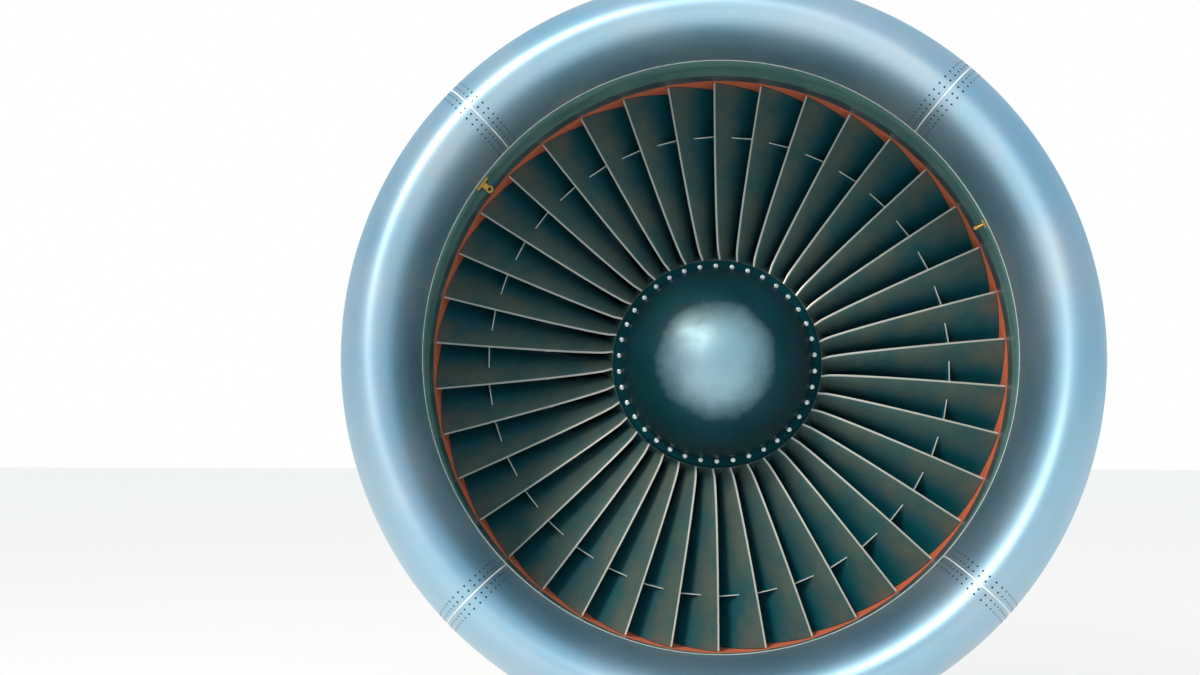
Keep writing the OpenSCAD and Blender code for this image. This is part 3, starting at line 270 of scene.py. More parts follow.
def barrel_paint():
    """Acoustic lining: fine holes in a green skin, in rows round the axis."""
    f = Finish("acoustic_lining", srgb(110, 164, 160), 0.0, 0.4)
    turns, along = f.uv()
    hole = f.remap(f.cells(f.wrapped(turns, 780.0, along, 125.0)), 0.2, 0.3, 1.0, 0.0)
    clouds = f.noise(5, 5, 0.6)
    skin = f.mix(f.remap(clouds, 0.35, 0.7), srgb(94, 148, 144), srgb(124, 172, 166))
    f.set("Base Color", f.mix(f.math("MULTIPLY", hole, 0.75), skin, srgb(26, 60, 62)))
    f.set("Roughness", f.remap(clouds, 0.3, 0.7, 0.34, 0.5))
    f.set("Normal", f.bump(hole, 0.25, -0.0008))
    return f.mat


def rub_strip():
    """Orange rubbing compound, scraped by the blades' tips."""
    f = Finish("rub_strip", srgb(255, 132, 88), 0.0, 0.7)
    turns, along = f.uv()
    scrape = f.noise(1.0, 5, 0.6, f.wrapped(turns, 14.0, along, 260.0))
    speck = f.noise(90, 3)
    tone = f.mix(f.remap(scrape, 0.35, 0.7), srgb(255, 138, 92), srgb(236, 112, 78))
    f.set("Base Color", f.mix(f.remap(speck, 0.6, 0.8, 0, 0.35), tone, srgb(168, 84, 64)))
    f.set("Normal", f.bump(scrape, 0.3, 0.0008))
    return f.mat


def blade_metal():
    """Blades with scuffs, painted shade towards the back of the chord, and a leading edge partly bare and
    partly a painted highlight. Their UV map runs across the chord and along the span.
    """
    f = Finish("blade_metal", srgb(60, 120, 126), 0.35, 0.42)
    chordwise, spanwise = f.uv()
    film = f.noise(7, 5, 0.6)
    rub = f.wrapped(chordwise, 5.0, spanwise, 26.0)
    scuffs = f.remap(f.noise(3.0, 7, 0.7, rub), 0.66, 0.72)
    # Painted shade: each blade darkens to deep teal towards the back of its chord, where the next blade
    # shades it
    shade_along_chord = f.math("ADD", chordwise, f.remap(film, 0.3, 0.7, -0.06, 0.06))
    front = f.mix(f.remap(film, 0.35, 0.7), srgb(108, 124, 116), srgb(62, 110, 116))
    body = f.mix(f.remap(shade_along_chord, 0.25, 0.7), front, srgb(4, 112, 130))
    scuffs_and_shade = f.mix(f.math("MULTIPLY", scuffs, 0.35), body, srgb(190, 205, 205))
    # The leading edge is near white: partly bare metal, partly a painted highlight
    edge = f.remap(chordwise, 0.022, 0.034, 1.0, 0.0)
    f.set("Base Color", f.mix(edge, scuffs_and_shade, srgb(236, 236, 230)))
    f.set("Roughness", f.math("SUBTRACT", f.remap(film, 0.3, 0.7, 0.36, 0.5), f.math("MULTIPLY", edge, 0.1)))
    f.set("Normal", f.bump(f.noise(60, 3), 0.05, 0.0004))
    return f.mat


def spinner_paint():
    """Dark paint with a painted highlight on the nose, a pale metallic patch, and dull on the bolts' land."""
    f = Finish("spinner_paint", srgb(8, 44, 52), 0.0, 0.4)
    turns, along = f.uv()
    scuff = f.remap(f.noise(1.4, 8, 0.72, f.wrapped(turns, 22.0, along, 34.0)), 0.68, 0.76)
    haze = f.noise(6, 5, 0.6)
    pits = f.remap(f.noise(140, 2, 0.4), 0.76, 0.8)
    base = f.mix(f.remap(haze, 0.3, 0.7), srgb(0, 46, 54), srgb(2, 60, 70))
    marks = f.math("MAXIMUM", f.math("MULTIPLY", scuff, 0.25), f.math("MULTIPLY", pits, 0.6))
    station = f.station()
    # Painted highlight: a pale metallic patch on the nose stands in for the sky mirrored there
    highlight_reach = f.math("ADD", station, f.remap(haze, 0.3, 0.7, -0.012, 0.012))
    land_y = AXIS.y + LAND_Y
    nose = f.remap(highlight_reach, land_y - 0.285, land_y - 0.225, 1, 0)
    paint = f.mix(marks, base, srgb(150, 175, 180))
    f.set("Base Color", f.mix(f.math("MULTIPLY", nose, 0.8), paint, srgb(150, 188, 202)))
    f.set("Metallic", f.math("MULTIPLY", nose, 0.6))
    land = f.remap(station, land_y - 0.012, land_y - 0.002)
    f.set("Roughness", f.math("ADD", f.remap(haze, 0.3, 0.7, 0.38, 0.46), f.math("MULTIPLY", land, 0.3)))
    f.set("Specular IOR Level", f.remap(land, 0, 1, 0.45, 0.05))
    return f.mat


def plain_metal(name, tone, rough, metallic=1.0, grain=40):
    """Bare metal with darker clouds and a fine grain."""
    f = Finish(name, tone, metallic, rough)
    speck = f.noise(grain, 4, 0.6)
    cloud = f.noise(6, 4, 0.5)
    darker = tuple(v * 0.72 for v in tone)
    f.set("Base Color", f.mix(f.remap(cloud, 0.35, 0.7), tone, darker))
    f.set("Roughness", f.remap(speck, 0.3, 0.7, rough - 0.1, rough + 0.1))
    f.set("Normal", f.bump(speck, 0.08, 0.0004))
    return f.mat


HOT_FROM, HOT_TO = 1.4, 3.4


def hot_metal():
    """Heat-tinted metal: straw, bronze and blue bands along the engine."""
    f = Finish("hot_metal", srgb(150, 135, 120), 1.0, 0.35)
    wander = f.math("ADD", f.station(), f.remap(f.noise(5, 4), 0.2, 0.8, -0.08, 0.08))
    band = f.add("ValToRGB", {0: f.remap(wander, HOT_FROM, HOT_TO)})
    ramp = band.node.color_ramp
    stops = [
        (0.0, (172, 166, 156)),
        (0.4, (160, 142, 118)),
        (0.62, (140, 112, 92)),
        (0.78, (112, 104, 118)),
        (1.0, (96, 92, 92)),
    ]
    while len(ramp.elements) < len(stops):
        ramp.elements.new(0.5)
    for element, (where, tone) in zip(ramp.elements, stops):
        element.position = where
        element.color = (*srgb(*tone), 1)
    soot = f.noise(14, 6, 0.65)
    f.set("Base Color", f.mix(f.remap(soot, 0.55, 0.8, 0, 0.5), band, srgb(60, 54, 50)))
    f.set("Roughness", f.remap(soot, 0.3, 0.7, 0.3, 0.48))
    f.set("Normal", f.bump(f.noise(50, 3), 0.08, 0.0004))
    return f.mat


def painted(name, tone, rough):
    """Satin paint with darker clouds."""
    f = Finish(name, tone, 0.0, rough)
    cloud = f.noise(9, 5, 0.6)
    f.set("Base Color", f.mix(f.remap(cloud, 0.4, 0.75), tone, tuple(v * 0.7 for v in tone)))
    f.set("Roughness", f.remap(cloud, 0.3, 0.7, rough - 0.08, rough + 0.08))
    f.set("Normal", f.bump(f.noise(120, 3), 0.06, 0.0003))
    return f.mat


FINISH = {
    "lip_metal": lip_metal(),
    "nacelle_paint": nacelle_paint(),
    "barrel_paint": barrel_paint(),
    "primer_green": painted("primer_green", srgb(132, 148, 104), 0.6),
    "blade_metal": blade_metal(),
    "spinner_paint": spinner_paint(),
    "rub_strip": rub_strip(),
    "steel": plain_metal("steel", srgb(188, 190, 190), 0.32),
    "case_metal": plain_metal("case_metal", srgb(158, 168, 172), 0.42, 0.85),
    "hot_metal": hot_metal(),
    "gearbox_cast": painted("gearbox_cast", srgb(140, 148, 138), 0.55),
    "probe_metal": plain_metal("probe_metal", srgb(214, 166, 84), 0.34),
}
DARK_SCREW = plain_metal("dark_screw", srgb(52, 62, 68), 0.4, 0.8, 200)
SEALANT = painted("sealant", srgb(226, 230, 228), 0.5)
BOLT_BRIGHT = plain_metal("bright_bolt", srgb(232, 236, 236), 0.3, 1.0, 200)


# Making pieces: turned ones have a section every so many degrees
SMOOTH_UP_TO = 35
TURN_STEP = 1.5


def piece(name, verts, faces, slot, body="engine", uvs=None, finish=None, replaces=()):
    """A mesh in the row frame that rides on a body."""
    mesh = bpy.data.meshes.new(name)
    mesh.from_pydata([tuple(v) for v in verts], [], faces)
    if uvs:
        layer = mesh.uv_layers.new(name="UVMap")
        for loop, uv in zip(layer.data, uvs):
            loop.uv = uv
    bm = bmesh.new()
    bm.from_mesh(mesh)
    bmesh.ops.recalc_face_normals(bm, faces=bm.faces)
    bm.to_mesh(mesh)
    bm.free()
    return finished(name, mesh, slot, body, finish, replaces)


def finished(name, mesh, slot, body, finish=None, replaces=(), angle=SMOOTH_UP_TO):
    """An object for a mesh, smooth up to an angle, with its finish, slot and body."""
    for polygon in mesh.polygons:
        polygon.use_smooth = True
    mesh.set_sharp_from_angle(angle=math.radians(angle))
    mesh.materials.clear()
    mesh.materials.append(finish or FINISH[slot])
    made = bpy.data.objects.new(name, mesh)
    bpy.context.scene.collection.objects.link(made)
    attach(made, body)
    if replaces:
        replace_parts(made, *replaces)
    return made


def revolve(profile, a0=0.0, a1=360.0, step=TURN_STEP):
    """Vertices, faces and UVs of a closed profile of (radius, station) turned between two clock angles."""
    full = a1 - a0 >= 360
    n = max(1, round((a1 - a0) / step))
    m = len(profile)
    verts = [at(r, a0 + (a1 - a0) * i / n, y) for i in range(n if full else n + 1) for r, y in profile]
    far = [0.0]
    for p, q in zip(profile, profile[1:] + profile[:1]):
        far.append(far[-1] + math.dist(p, q))
    faces, uvs = [], []
    for i in range(n):
        j = (i + 1) % n if full else i + 1
        u0, u1 = (a0 + (a1 - a0) * i / n) / 360, (a0 + (a1 - a0) * (i + 1) / n) / 360
        for k in range(m):
            after = (k + 1) % m
            faces.append((i * m + k, j * m + k, j * m + after, i * m + after))
            uvs += [(u0, far[k]), (u1, far[k]), (u1, far[k + 1]), (u0, far[k + 1])]
    if not full:
        for i, order in ((0, range(m)), (n, range(m - 1, -1, -1))):
            faces.append(tuple(i * m + k for k in order))
            uvs += [(a0 / 360, far[k]) for k in order]
    return verts, faces, uvs


def join(parts):
    """Several lots of vertices, faces and UVs as one."""
    verts, faces, uvs = [], [], []
    for v, f, u in parts:
        base = len(verts)
        verts += v
        faces += [tuple(i + base for i in g) for g in f]
        uvs += u
    return verts, faces, uvs


def turned(name, profile, slot, body="engine", a0=0.0, a1=360.0, replaces=()):
    """A piece revolved about the engine's axis."""
    verts, faces, uvs = revolve(profile, a0, a1)
    return piece(name, verts, faces, slot, body, uvs, replaces=replaces)


# Rows of fasteners by Geometry Nodes
def fastener_tree():
    """Heads along the edges of a mesh, at a spacing, each standing on its own outward direction."""
    tree = bpy.data.node_groups.new("fastener_rows", "GeometryNodeTree")
    face = tree.interface
    face.new_socket("Geometry", in_out="INPUT", socket_type="NodeSocketGeometry")
    for name, value in (("Spacing", 0.03), ("Head radius", 0.004), ("Head height", 0.001), ("Sink", 0.0005)):
        face.new_socket(name, in_out="INPUT", socket_type="NodeSocketFloat").default_value = value
    face.new_socket("Sides", in_out="INPUT", socket_type="NodeSocketInt").default_value = 8
    face.new_socket("Finish", in_out="INPUT", socket_type="NodeSocketMaterial")
    face.new_socket("Geometry", in_out="OUTPUT", socket_type="NodeSocketGeometry")
    nodes, links = tree.nodes, tree.links
    start, end = nodes.new("NodeGroupInput"), nodes.new("NodeGroupOutput")
    curve = nodes.new("GeometryNodeMeshToCurve")
    walk = nodes.new("GeometryNodeResampleCurve")
    walk.mode = "LENGTH"
    out = nodes.new("GeometryNodeInputNamedAttribute")
    out.data_type = "FLOAT_VECTOR"
    out.inputs["Name"].default_value = "out"
    head = nodes.new("GeometryNodeMeshCone")
    smaller = nodes.new("ShaderNodeMath")
    smaller.operation = "MULTIPLY"
    smaller.inputs[1].default_value = 0.8
    lower = nodes.new("ShaderNodeMath")
    lower.operation = "MULTIPLY"
    lower.inputs[1].default_value = -1.0
    shift = nodes.new("ShaderNodeCombineXYZ")
    sink = nodes.new("GeometryNodeTransform")
    turn = nodes.new("FunctionNodeAlignRotationToVector")
    turn.axis = "Z"
    put = nodes.new("GeometryNodeInstanceOnPoints")
    real = nodes.new("GeometryNodeRealizeInstances")
    coat = nodes.new("GeometryNodeSetMaterial")
    for a, b in (
        (start.outputs["Geometry"], curve.inputs[0]),
        (curve.outputs[0], walk.inputs["Curve"]),
        (start.outputs["Spacing"], walk.inputs["Length"]),
        (start.outputs["Sides"], head.inputs["Vertices"]),
        (start.outputs["Head radius"], head.inputs["Radius Bottom"]),
        (start.outputs["Head radius"], smaller.inputs[0]),
        (smaller.outputs[0], head.inputs["Radius Top"]),
        (start.outputs["Head height"], head.inputs["Depth"]),
        (start.outputs["Sink"], lower.inputs[0]),
        (lower.outputs[0], shift.inputs[2]),
        (head.outputs["Mesh"], sink.inputs["Geometry"]),
        (shift.outputs[0], sink.inputs["Translation"]),
        (out.outputs[0], turn.inputs["Vector"]),
        (walk.outputs["Curve"], put.inputs["Points"]),
        (sink.outputs["Geometry"], put.inputs["Instance"]),
        (turn.outputs[0], put.inputs["Rotation"]),
        (put.outputs[0], real.inputs[0]),
        (real.outputs[0], coat.inputs["Geometry"]),
        (start.outputs["Finish"], coat.inputs["Material"]),
        (coat.outputs[0], end.inputs[0]),
    ):
        links.new(a, b)
    return tree


FASTENERS = fastener_tree()
HEAD_SIDES = 8
SKIN_SCREW = (0.0034, 0.0008)


def fasteners(name, rows, spacing, radius, height, finish, slot, body="engine", sink=0.0):
    """Heads along rows, where a row is a list of (point, outward direction)."""
    verts, edges, outs = [], [], []
    for row in rows:
        edges += [(len(verts) + i, len(verts) + i + 1) for i in range(len(row) - 1)]
        verts += [tuple(p) for p, _ in row]
        outs += [tuple(n) for _, n in row]
    mesh = bpy.data.meshes.new(name + "_rows")
    mesh.from_pydata(verts, edges, [])
    layer = mesh.attributes.new("out", "FLOAT_VECTOR", "POINT")
    for item, value in zip(layer.data, outs):
        item.vector = value
    rail = bpy.data.objects.new(name + "_rows", mesh)
    bpy.context.scene.collection.objects.link(rail)
    modifier = rail.modifiers.new("fasteners", "NODES")
    modifier.node_group = FASTENERS
    values = {"Spacing": spacing, "Head radius": radius, "Head height": height, "Sink": sink}
    values.update({"Sides": HEAD_SIDES, "Finish": finish})
    for item in FASTENERS.interface.items_tree:
        if item.in_out == "INPUT" and item.name in values:
            modifier[item.identifier] = values[item.name]
    bpy.context.view_layer.update()
    seen = rail.evaluated_get(bpy.context.evaluated_depsgraph_get())
    heads = bpy.data.meshes.new_from_object(seen)
    bpy.data.objects.remove(rail)
    heads.name = name
    return finished(name, heads, slot, body, finish)


def along_profile(profile, a, shift=0.0):
    """A row along a profile at a clock angle, moved sideways by a distance round the axis."""
    row = []
    for i, (r, y) in enumerate(profile):
        (r0, y0), (r1, y1) = profile[max(i - 1, 0)], profile[min(i + 1, len(profile) - 1)]
        radial = clock(a + math.degrees(shift / r))[0]
        normal = radial * (y0 - y1) + Vector((0, r1 - r0, 0))
        row.append((at(r, a + math.degrees(shift / r), y), -normal.normalized() if normal.length else radial))
    return row


def round_axis(radius, y, a0, a1, slope=0.0, inward=False):
    """A row round the axis at a station, between two clock angles."""
    row = []
    for a in steps(a0, a1, max(2, round((a1 - a0) / 2))):
        radial = clock(a)[0]
        normal = (radial - Vector((0, slope, 0))).normalized()
        row.append((at(radius, a, y), -normal if inward else normal))
    return row


def slope_of(contour, y):
    """How fast a contour's radius grows along the engine."""
    return (contour(y + 0.001) - contour(y - 0.001)) / 0.002


# Intake
HAIRLINE = 0.0005
SEAM_GAP = 0.0004
BEAD_WIDTH = 0.0036
BEAD_HEIGHT = 0.0006
SEAM_ROWS = (0.016, 0.036)
FLANGE_THICK = 0.018
LAP_WALL = 0.008
LAP_FRONT = 0.024
LAP_BACK = 0.012
WALL_Y0, WALL_Y1 = LIP_IN_Y + 0.04, FLANGE_Y - 0.06
SKIN_END_Y = FLANGE_Y - 0.020
SEAM_SPACING = 0.026
SEAM_SCREW = (0.0036, 0.0008)
BARREL_SPACING = 0.034
LINING_SPACING = 0.040
LINING_SCREW = (0.0030, 0.0008)


def make_lip():
    """Four skins of the lip, the sealant of their seams and the screws along them."""
    outside = lip_line(0, LIP_OUT_Y, LIP_IN_Y, 44)
    inside = lip_line(LIP_SKIN, LIP_OUT_Y, LIP_IN_Y, 22)
    section = outside + inside[::-1]
    half = math.degrees(SEAM_GAP / LIP_FRONT_R) / 2
    parts = []
    for i, a in enumerate(SEAMS):
        end = SEAMS[(i + 1) % 4] + (360 if i == 3 else 0)
        parts.append(revolve(section, a + half, end - half, 1.0))
    verts, faces, uvs = join(parts)
    piece("lip_skin", verts, faces, "lip_metal", uvs=uvs, replaces=["intake_lip_segments"])
    raised = lip_line(-BEAD_HEIGHT, LIP_OUT_Y, LIP_IN_Y, 44)
    strip = math.degrees(BEAD_WIDTH / LIP_FRONT_R) / 2
    beads = [revolve(raised + outside[::-1], a - strip, a + strip, strip) for a in SEAMS]
    edge = duct(LIP_IN_Y)
    crest = edge - 2 * BEAD_HEIGHT
    beads.append(revolve([(edge, LIP_IN_Y - BEAD_WIDTH), (crest, LIP_IN_Y - BEAD_WIDTH / 2),
                          (crest, LIP_IN_Y + BEAD_WIDTH / 2), (edge, LIP_IN_Y + BEAD_WIDTH)]))
    verts, faces, uvs = join(beads)
    piece("lip_seam_sealant", verts, faces, "lip_metal", uvs=uvs, finish=SEALANT)
    front = lip_line(0, LIP_OUT_Y - 0.02, LIP_IN_Y - 0.02, 60)
    rows = [along_profile(front, a, s * d) for a in SEAMS for s in (-1, 1) for d in SEAM_ROWS]
    fasteners("lip_seam_screws", rows, SEAM_SPACING, *SEAM_SCREW, DARK_SCREW, "steel", sink=0.0002)


def make_barrels():
    """The lined inner barrel, the outer barrel and their screws."""
    section = line(duct, LIP_IN_Y + HAIRLINE, FLANGE_Y, 40)
    section += [(FLANGE_R, FLANGE_Y), (FLANGE_R, FLANGE_Y - FLANGE_THICK)]
    section += [(DUCT_R + BARREL_WALL, FLANGE_Y - FLANGE_THICK)]
    section += line(duct, WALL_Y1, WALL_Y0, 12, BARREL_WALL)
    lap_r = duct(LIP_IN_Y) + LIP_SKIN
    section += [(lap_r + LAP_WALL, LIP_IN_Y + LAP_BACK), (lap_r + LAP_WALL, LIP_IN_Y - LAP_FRONT)]
    section += [(lap_r + HAIRLINE, LIP_IN_Y - LAP_FRONT), (lap_r + HAIRLINE, LIP_IN_Y)]
    turned("inner_barrel", section, "barrel_paint", replaces=["intake_inner_barrel"])
    y0, y1 = LIP_OUT_Y + HAIRLINE, SKIN_END_Y
    skin = line(outer, y0, y1, 30) + line(outer, y1, y0, 30, -BARREL_SKIN)
    turned("outer_barrel", skin, "nacelle_paint", replaces=["intake_outer_barrel"])
    rows = []
    for y in (LIP_OUT_Y - 0.012, LIP_OUT_Y - 0.03, LIP_OUT_Y + 0.018, y1 - 0.015):
        rows.append(round_axis(outer(y), y, 0, 360, slope_of(outer, y)))
    fasteners("barrel_fasteners", rows, BARREL_SPACING, *SKIN_SCREW, FINISH["steel"], "steel")
    inner_rows = []
    for y in (LIP_IN_Y + 0.02, LIP_IN_Y - 0.012):
        inner_rows.append(round_axis(duct(y), y, 0, 360, slope_of(duct, y), True))
    fasteners("lining_fasteners", inner_rows, LINING_SPACING, *LINING_SCREW, FINISH["steel"], "steel")


# Fan
TWIST_POWER = 0.65
ROOT_BOW, BOW_LOSS = 0.110, 0.095


def span(r):
    """How far out a radius lies on the blade, from 0 to 1."""
    return max(0.0, (r - HUB_R) / (FAN_R - HUB_R))


def stagger(r):
    """Angle of the chord from the axis."""
    return math.radians(ROOT_STAGGER + (TIP_STAGGER - ROOT_STAGGER) * span(r) ** TWIST_POWER)


def chord(r):
    """Length of the blade's section."""
    return ROOT_CHORD + (TIP_CHORD - ROOT_CHORD) * span(r)


PAD_Y0 = -0.020
PAD_Y1 = 0.160
DISK_Y0 = -0.010
DISK_Y1 = 0.150
CHORD_POINTS = 14
SPAN_STEPS = 20
PLATFORM_THICK = 0.008
SIDE_GAP = 0.0003
ROOT_DEPTH = 0.060
ROOT_HALF = 0.017
NECK_HALF = 0.012
SHROUD_Y0 = BLADE_Y - 0.028
SHROUD_Y1 = BLADE_Y + 0.034
SHROUD_FOOT = SHROUD_R - 0.008
HALF_PITCH = math.tan(math.radians(PITCH / 2))
# Places on the blade's UV map: its leading edge, partly bare and partly a painted highlight, its body in
# painted shade, and the tone of platforms
HIGHLIGHT_EDGE_UV, BODY_UV, PLAIN_UV = (0.0, 0.5), (0.7, 0.5), (0.3, 0.5)


def foil(q):
    """Half thickness along the chord, as a share of the largest: round at the front and thin at the back."""
    return 0.12 + 0.88 * max(0, 1 - (2 * q ** 0.9 - 1) ** 2) ** 0.7


def blade_ring(r, rise=0.0):
    """Points of a blade section wrapped on its radius, down the suction side and back up the other."""
    a, c = stagger(r), chord(r)
    bow = c * (ROOT_BOW - BOW_LOSS * span(r))
    thick = (ROOT_THICK - (ROOT_THICK - TIP_THICK) * span(r)) / 2
    sides = [(1 - math.cos(math.pi * i / CHORD_POINTS)) / 2 for i in range(CHORD_POINTS + 1)]
    ring = []
    for q, s in [(q, 1) for q in sides] + [(q, -1) for q in sides[::-1]]:
        along = (q - 0.5) * c
        off = bow * 4 * q * (1 - q) + s * thick * foil(q)
        y = BLADE_Y + along * math.cos(a) - off * math.sin(a)
        lifted = r + rise * (y - PAD_Y0) / (PAD_Y1 - PAD_Y0)
        ring.append((lifted, along * math.sin(a) + off * math.cos(a), y, q))
    return ring


def one_blade(middle):
    """A blade's foil, skinned over its sections, with the chord and the span as its UV map."""
    rings = [blade_ring(HUB_R, HUB_RISE)]
    rings += [blade_ring(r) for r in steps(HUB_R, FAN_R, SPAN_STEPS)[1:]]
    verts, faces, uvs = [], [], []
    n = len(rings[0])
    for ring in rings:
        verts += [at(r, middle + math.degrees(u / r), y) for r, u, y, _ in ring]
    for k in range(SPAN_STEPS):
        v0, v1 = k / SPAN_STEPS, (k + 1) / SPAN_STEPS
        for i in range(n):
            j = (i + 1) % n
            q0, q1 = rings[k][i][3], rings[k][j][3]
            faces.append((k * n + i, (k + 1) * n + i, (k + 1) * n + j, k * n + j))
            uvs += [(q0, v0), (q0, v1), (q1, v1), (q1, v0)]
    last = (len(rings) - 1) * n
    faces.append(tuple(range(last + n - 1, last - 1, -1)))
    uvs += [(0.5, 1.0)] * n
    faces.append(tuple(range(n)))
    uvs += [(0.5, 0.0)] * n
    return verts, faces, uvs


def box_ring(rings):
    """A solid through rings of points, closed at both ends."""
    n = len(rings[0])
    verts = [p for ring in rings for p in ring]
    faces = [tuple(range(n - 1, -1, -1)), tuple((len(rings) - 1) * n + i for i in range(n))]
    for k in range(len(rings) - 1):
        low, high = k * n, (k + 1) * n
        faces += [(low + i, low + (i + 1) % n, high + (i + 1) % n, high + i) for i in range(n)]
    uvs = [PLAIN_UV] * sum(len(f) for f in faces)
    return verts, faces, uvs


def platform_and_root(middle):
    """The platform between blades, the neck and the dovetail in the disk."""
    def ring(r, w, y0, y1, rise):
        rows = []
        for y in (y0, y1):
            up = rise * (y - y0) / (y1 - y0)
            half = w + up * HALF_PITCH
            rows.append([(r + up, -half, y), (r + up, half, y)])
        return [rows[0][0], rows[0][1], rows[1][1], rows[1][0]]

    under = HUB_R - PLATFORM_THICK
    half = under * HALF_PITCH - SIDE_GAP
    root = HUB_R - ROOT_DEPTH
    rings = [
        ring(root, ROOT_HALF, DISK_Y0, DISK_Y1, 0),
        ring(root + 0.020, ROOT_HALF, DISK_Y0, DISK_Y1, 0),
        ring(root + 0.035, NECK_HALF, DISK_Y0, DISK_Y1, 0),
        ring(under, NECK_HALF, DISK_Y0, DISK_Y1, 0),
        ring(under, half, PAD_Y0, PAD_Y1, HUB_RISE - 0.003),
        ring(HUB_R, half + 2 * SIDE_GAP, PAD_Y0, PAD_Y1, HUB_RISE),
    ]
    radial, side = clock(middle)

    def spot(r, u, y):
        return AXIS + radial * r + side * u + Vector((0, y, 0))

    return box_ring([[spot(*point) for point in points] for points in rings])


def shroud(middle):
    """The part-span shroud: a thin plate with a rounded front edge that meets its neighbours'."""
    radial, side = clock(middle)
    y0, y1 = SHROUD_Y0, SHROUD_Y1
    shape = [(0.003, y0 + 0.006), (0.0048, y0 + 0.001), (0.0062, y0), (0.0078, y0), (0.0092, y0 + 0.001),
             (0.011, y0 + 0.006), (0.012, y1 - 0.006), (0.008, y1), (0.006, y1), (0.002, y1 - 0.006)]
    rings = []
    for s in (-1, 1):
        ring = []
        for up, y in shape:
            r = SHROUD_FOOT + up
            half = r * HALF_PITCH - SIDE_GAP
            ring.append(AXIS + radial * r + side * half * s + Vector((0, y, 0)))
        rings.append(ring)
    verts, faces, _ = box_ring(rings)
    # The shroud's rounded front edge gets the leading edge's painted highlight; its other faces get the
    # body's painted shade
    uvs = []
    for i, f in enumerate(faces):
        uvs += [HIGHLIGHT_EDGE_UV if 3 <= i <= 5 else BODY_UV] * len(f)
    return verts, faces, uvs


def make_fan():
    """All blades as one piece with their shrouds, and their platforms and roots as another."""
    blades, roots, shrouds = [], [], []
    for i in range(BLADES):
        middle = (i + 0.5) * PITCH
        blades.append(one_blade(middle))
        roots.append(platform_and_root(middle))
        shrouds.append(shroud(middle))
    verts, faces, uvs = join(blades + shrouds)
    piece("fan_blade_foils", verts, faces, "blade_metal", "fan_spool", uvs, replaces=["fan_blades"])
    verts, faces, uvs = join(roots)
    piece("fan_blade_platforms", verts, faces, "blade_metal", "fan_spool", uvs)


STRIP_Y0, STRIP_Y1 = -0.0197, 0.2497
STRIP_THICK = 0.010


def make_rub_ring():
    """The strip round the blades' tips."""
    back = DUCT_R + STRIP_THICK
    section = [(DUCT_R, STRIP_Y0), (DUCT_R, STRIP_Y1), (back, STRIP_Y1), (back, STRIP_Y0)]
    turned("fan_rub_ring", section, "rub_strip", replaces=["fan_rub_strip"])


# Spinner
LAND_R = HUB_R - 0.042
STEP_R = LAND_R - 0.016
POLE = 0.0001
SEAT_Y, RIM_Y = LAND_Y + 0.018, LAND_Y + 0.030
BORE_R, WEB_R = HUB_R - 0.100, HUB_R - 0.060
WEB_Y = DISK_Y0 - 0.012
BOLT_CIRCLE = HUB_R - 0.029
DOME_SKIN = 0.006
BOLT_SIDES = 12
BOLT_PROFILE = ((0.0085, 0.0), (0.0085, -0.0016), (0.0066, -0.002), (0.0064, -0.0062), (0.0052, -0.0074))


def make_spinner():
    """The dome, the ring behind it and the bolts on their land."""
    def dome(r, h, n):
        """Half an ellipse from the nose to the land."""
        return [(r * math.sin(q), LAND_Y - h * math.cos(q)) for q in steps(0, math.pi / 2, n)]

    outside = dome(LAND_R, SPINNER_H, 40)
    outside[0] = (POLE, outside[0][1])
    inside = dome(LAND_R - DOME_SKIN, SPINNER_H - DOME_SKIN, 16)[::-1]
    inside[-1] = (POLE, inside[-1][1])
    lip = HUB_R - 0.008
    section = outside + [(HUB_R - 0.014, LAND_Y), (HUB_R - 0.010, LAND_Y + 0.0025), (lip, LAND_Y + 0.008)]
    section += [(lip, SEAT_Y), (STEP_R, SEAT_Y), (STEP_R, LAND_Y + 0.008)]
    turned("spinner_shell", section + inside, "spinner_paint", "fan_spool", replaces=["spinner_dome"])
    rear = [(BORE_R, WEB_Y), (WEB_R, WEB_Y), (WEB_R, RIM_Y), (STEP_R, RIM_Y),
            (STEP_R, SEAT_Y), (HUB_R - 0.006, SEAT_Y),
            (HUB_R - 0.001, PAD_Y0 - 0.001), (HUB_R - 0.010, PAD_Y0 - 0.001),
            (HUB_R - 0.010, DISK_Y0), (BORE_R, DISK_Y0)]
    turned("spinner_rear_ring", rear, "spinner_paint", "fan_spool", replaces=["spinner_ring"])
    heads = []
    turns = [math.tau * k / BOLT_SIDES for k in range(BOLT_SIDES)]
    for i in range(BLADES):
        radial, side = clock(i * PITCH)
        centre = AXIS + radial * BOLT_CIRCLE + Vector((0, LAND_Y, 0))
        rings = []
        for r, y in BOLT_PROFILE:
            middle = centre + Vector((0, y, 0))
            rings.append([middle + radial * r * math.cos(t) + side * r * math.sin(t) for t in turns])
        heads.append(box_ring(rings))
    verts, faces, uvs = join(heads)
    piece("spinner_bolt_heads", verts, faces, "steel", "fan_spool", uvs, BOLT_BRIGHT, ["spinner_bolts"])


# Every other node keeps its form, as a merged copy with smooth curves
CAD_SMOOTH_UP_TO = 28
MERGE_WITHIN = 0.00002
NO_LENGTH = 0.00001


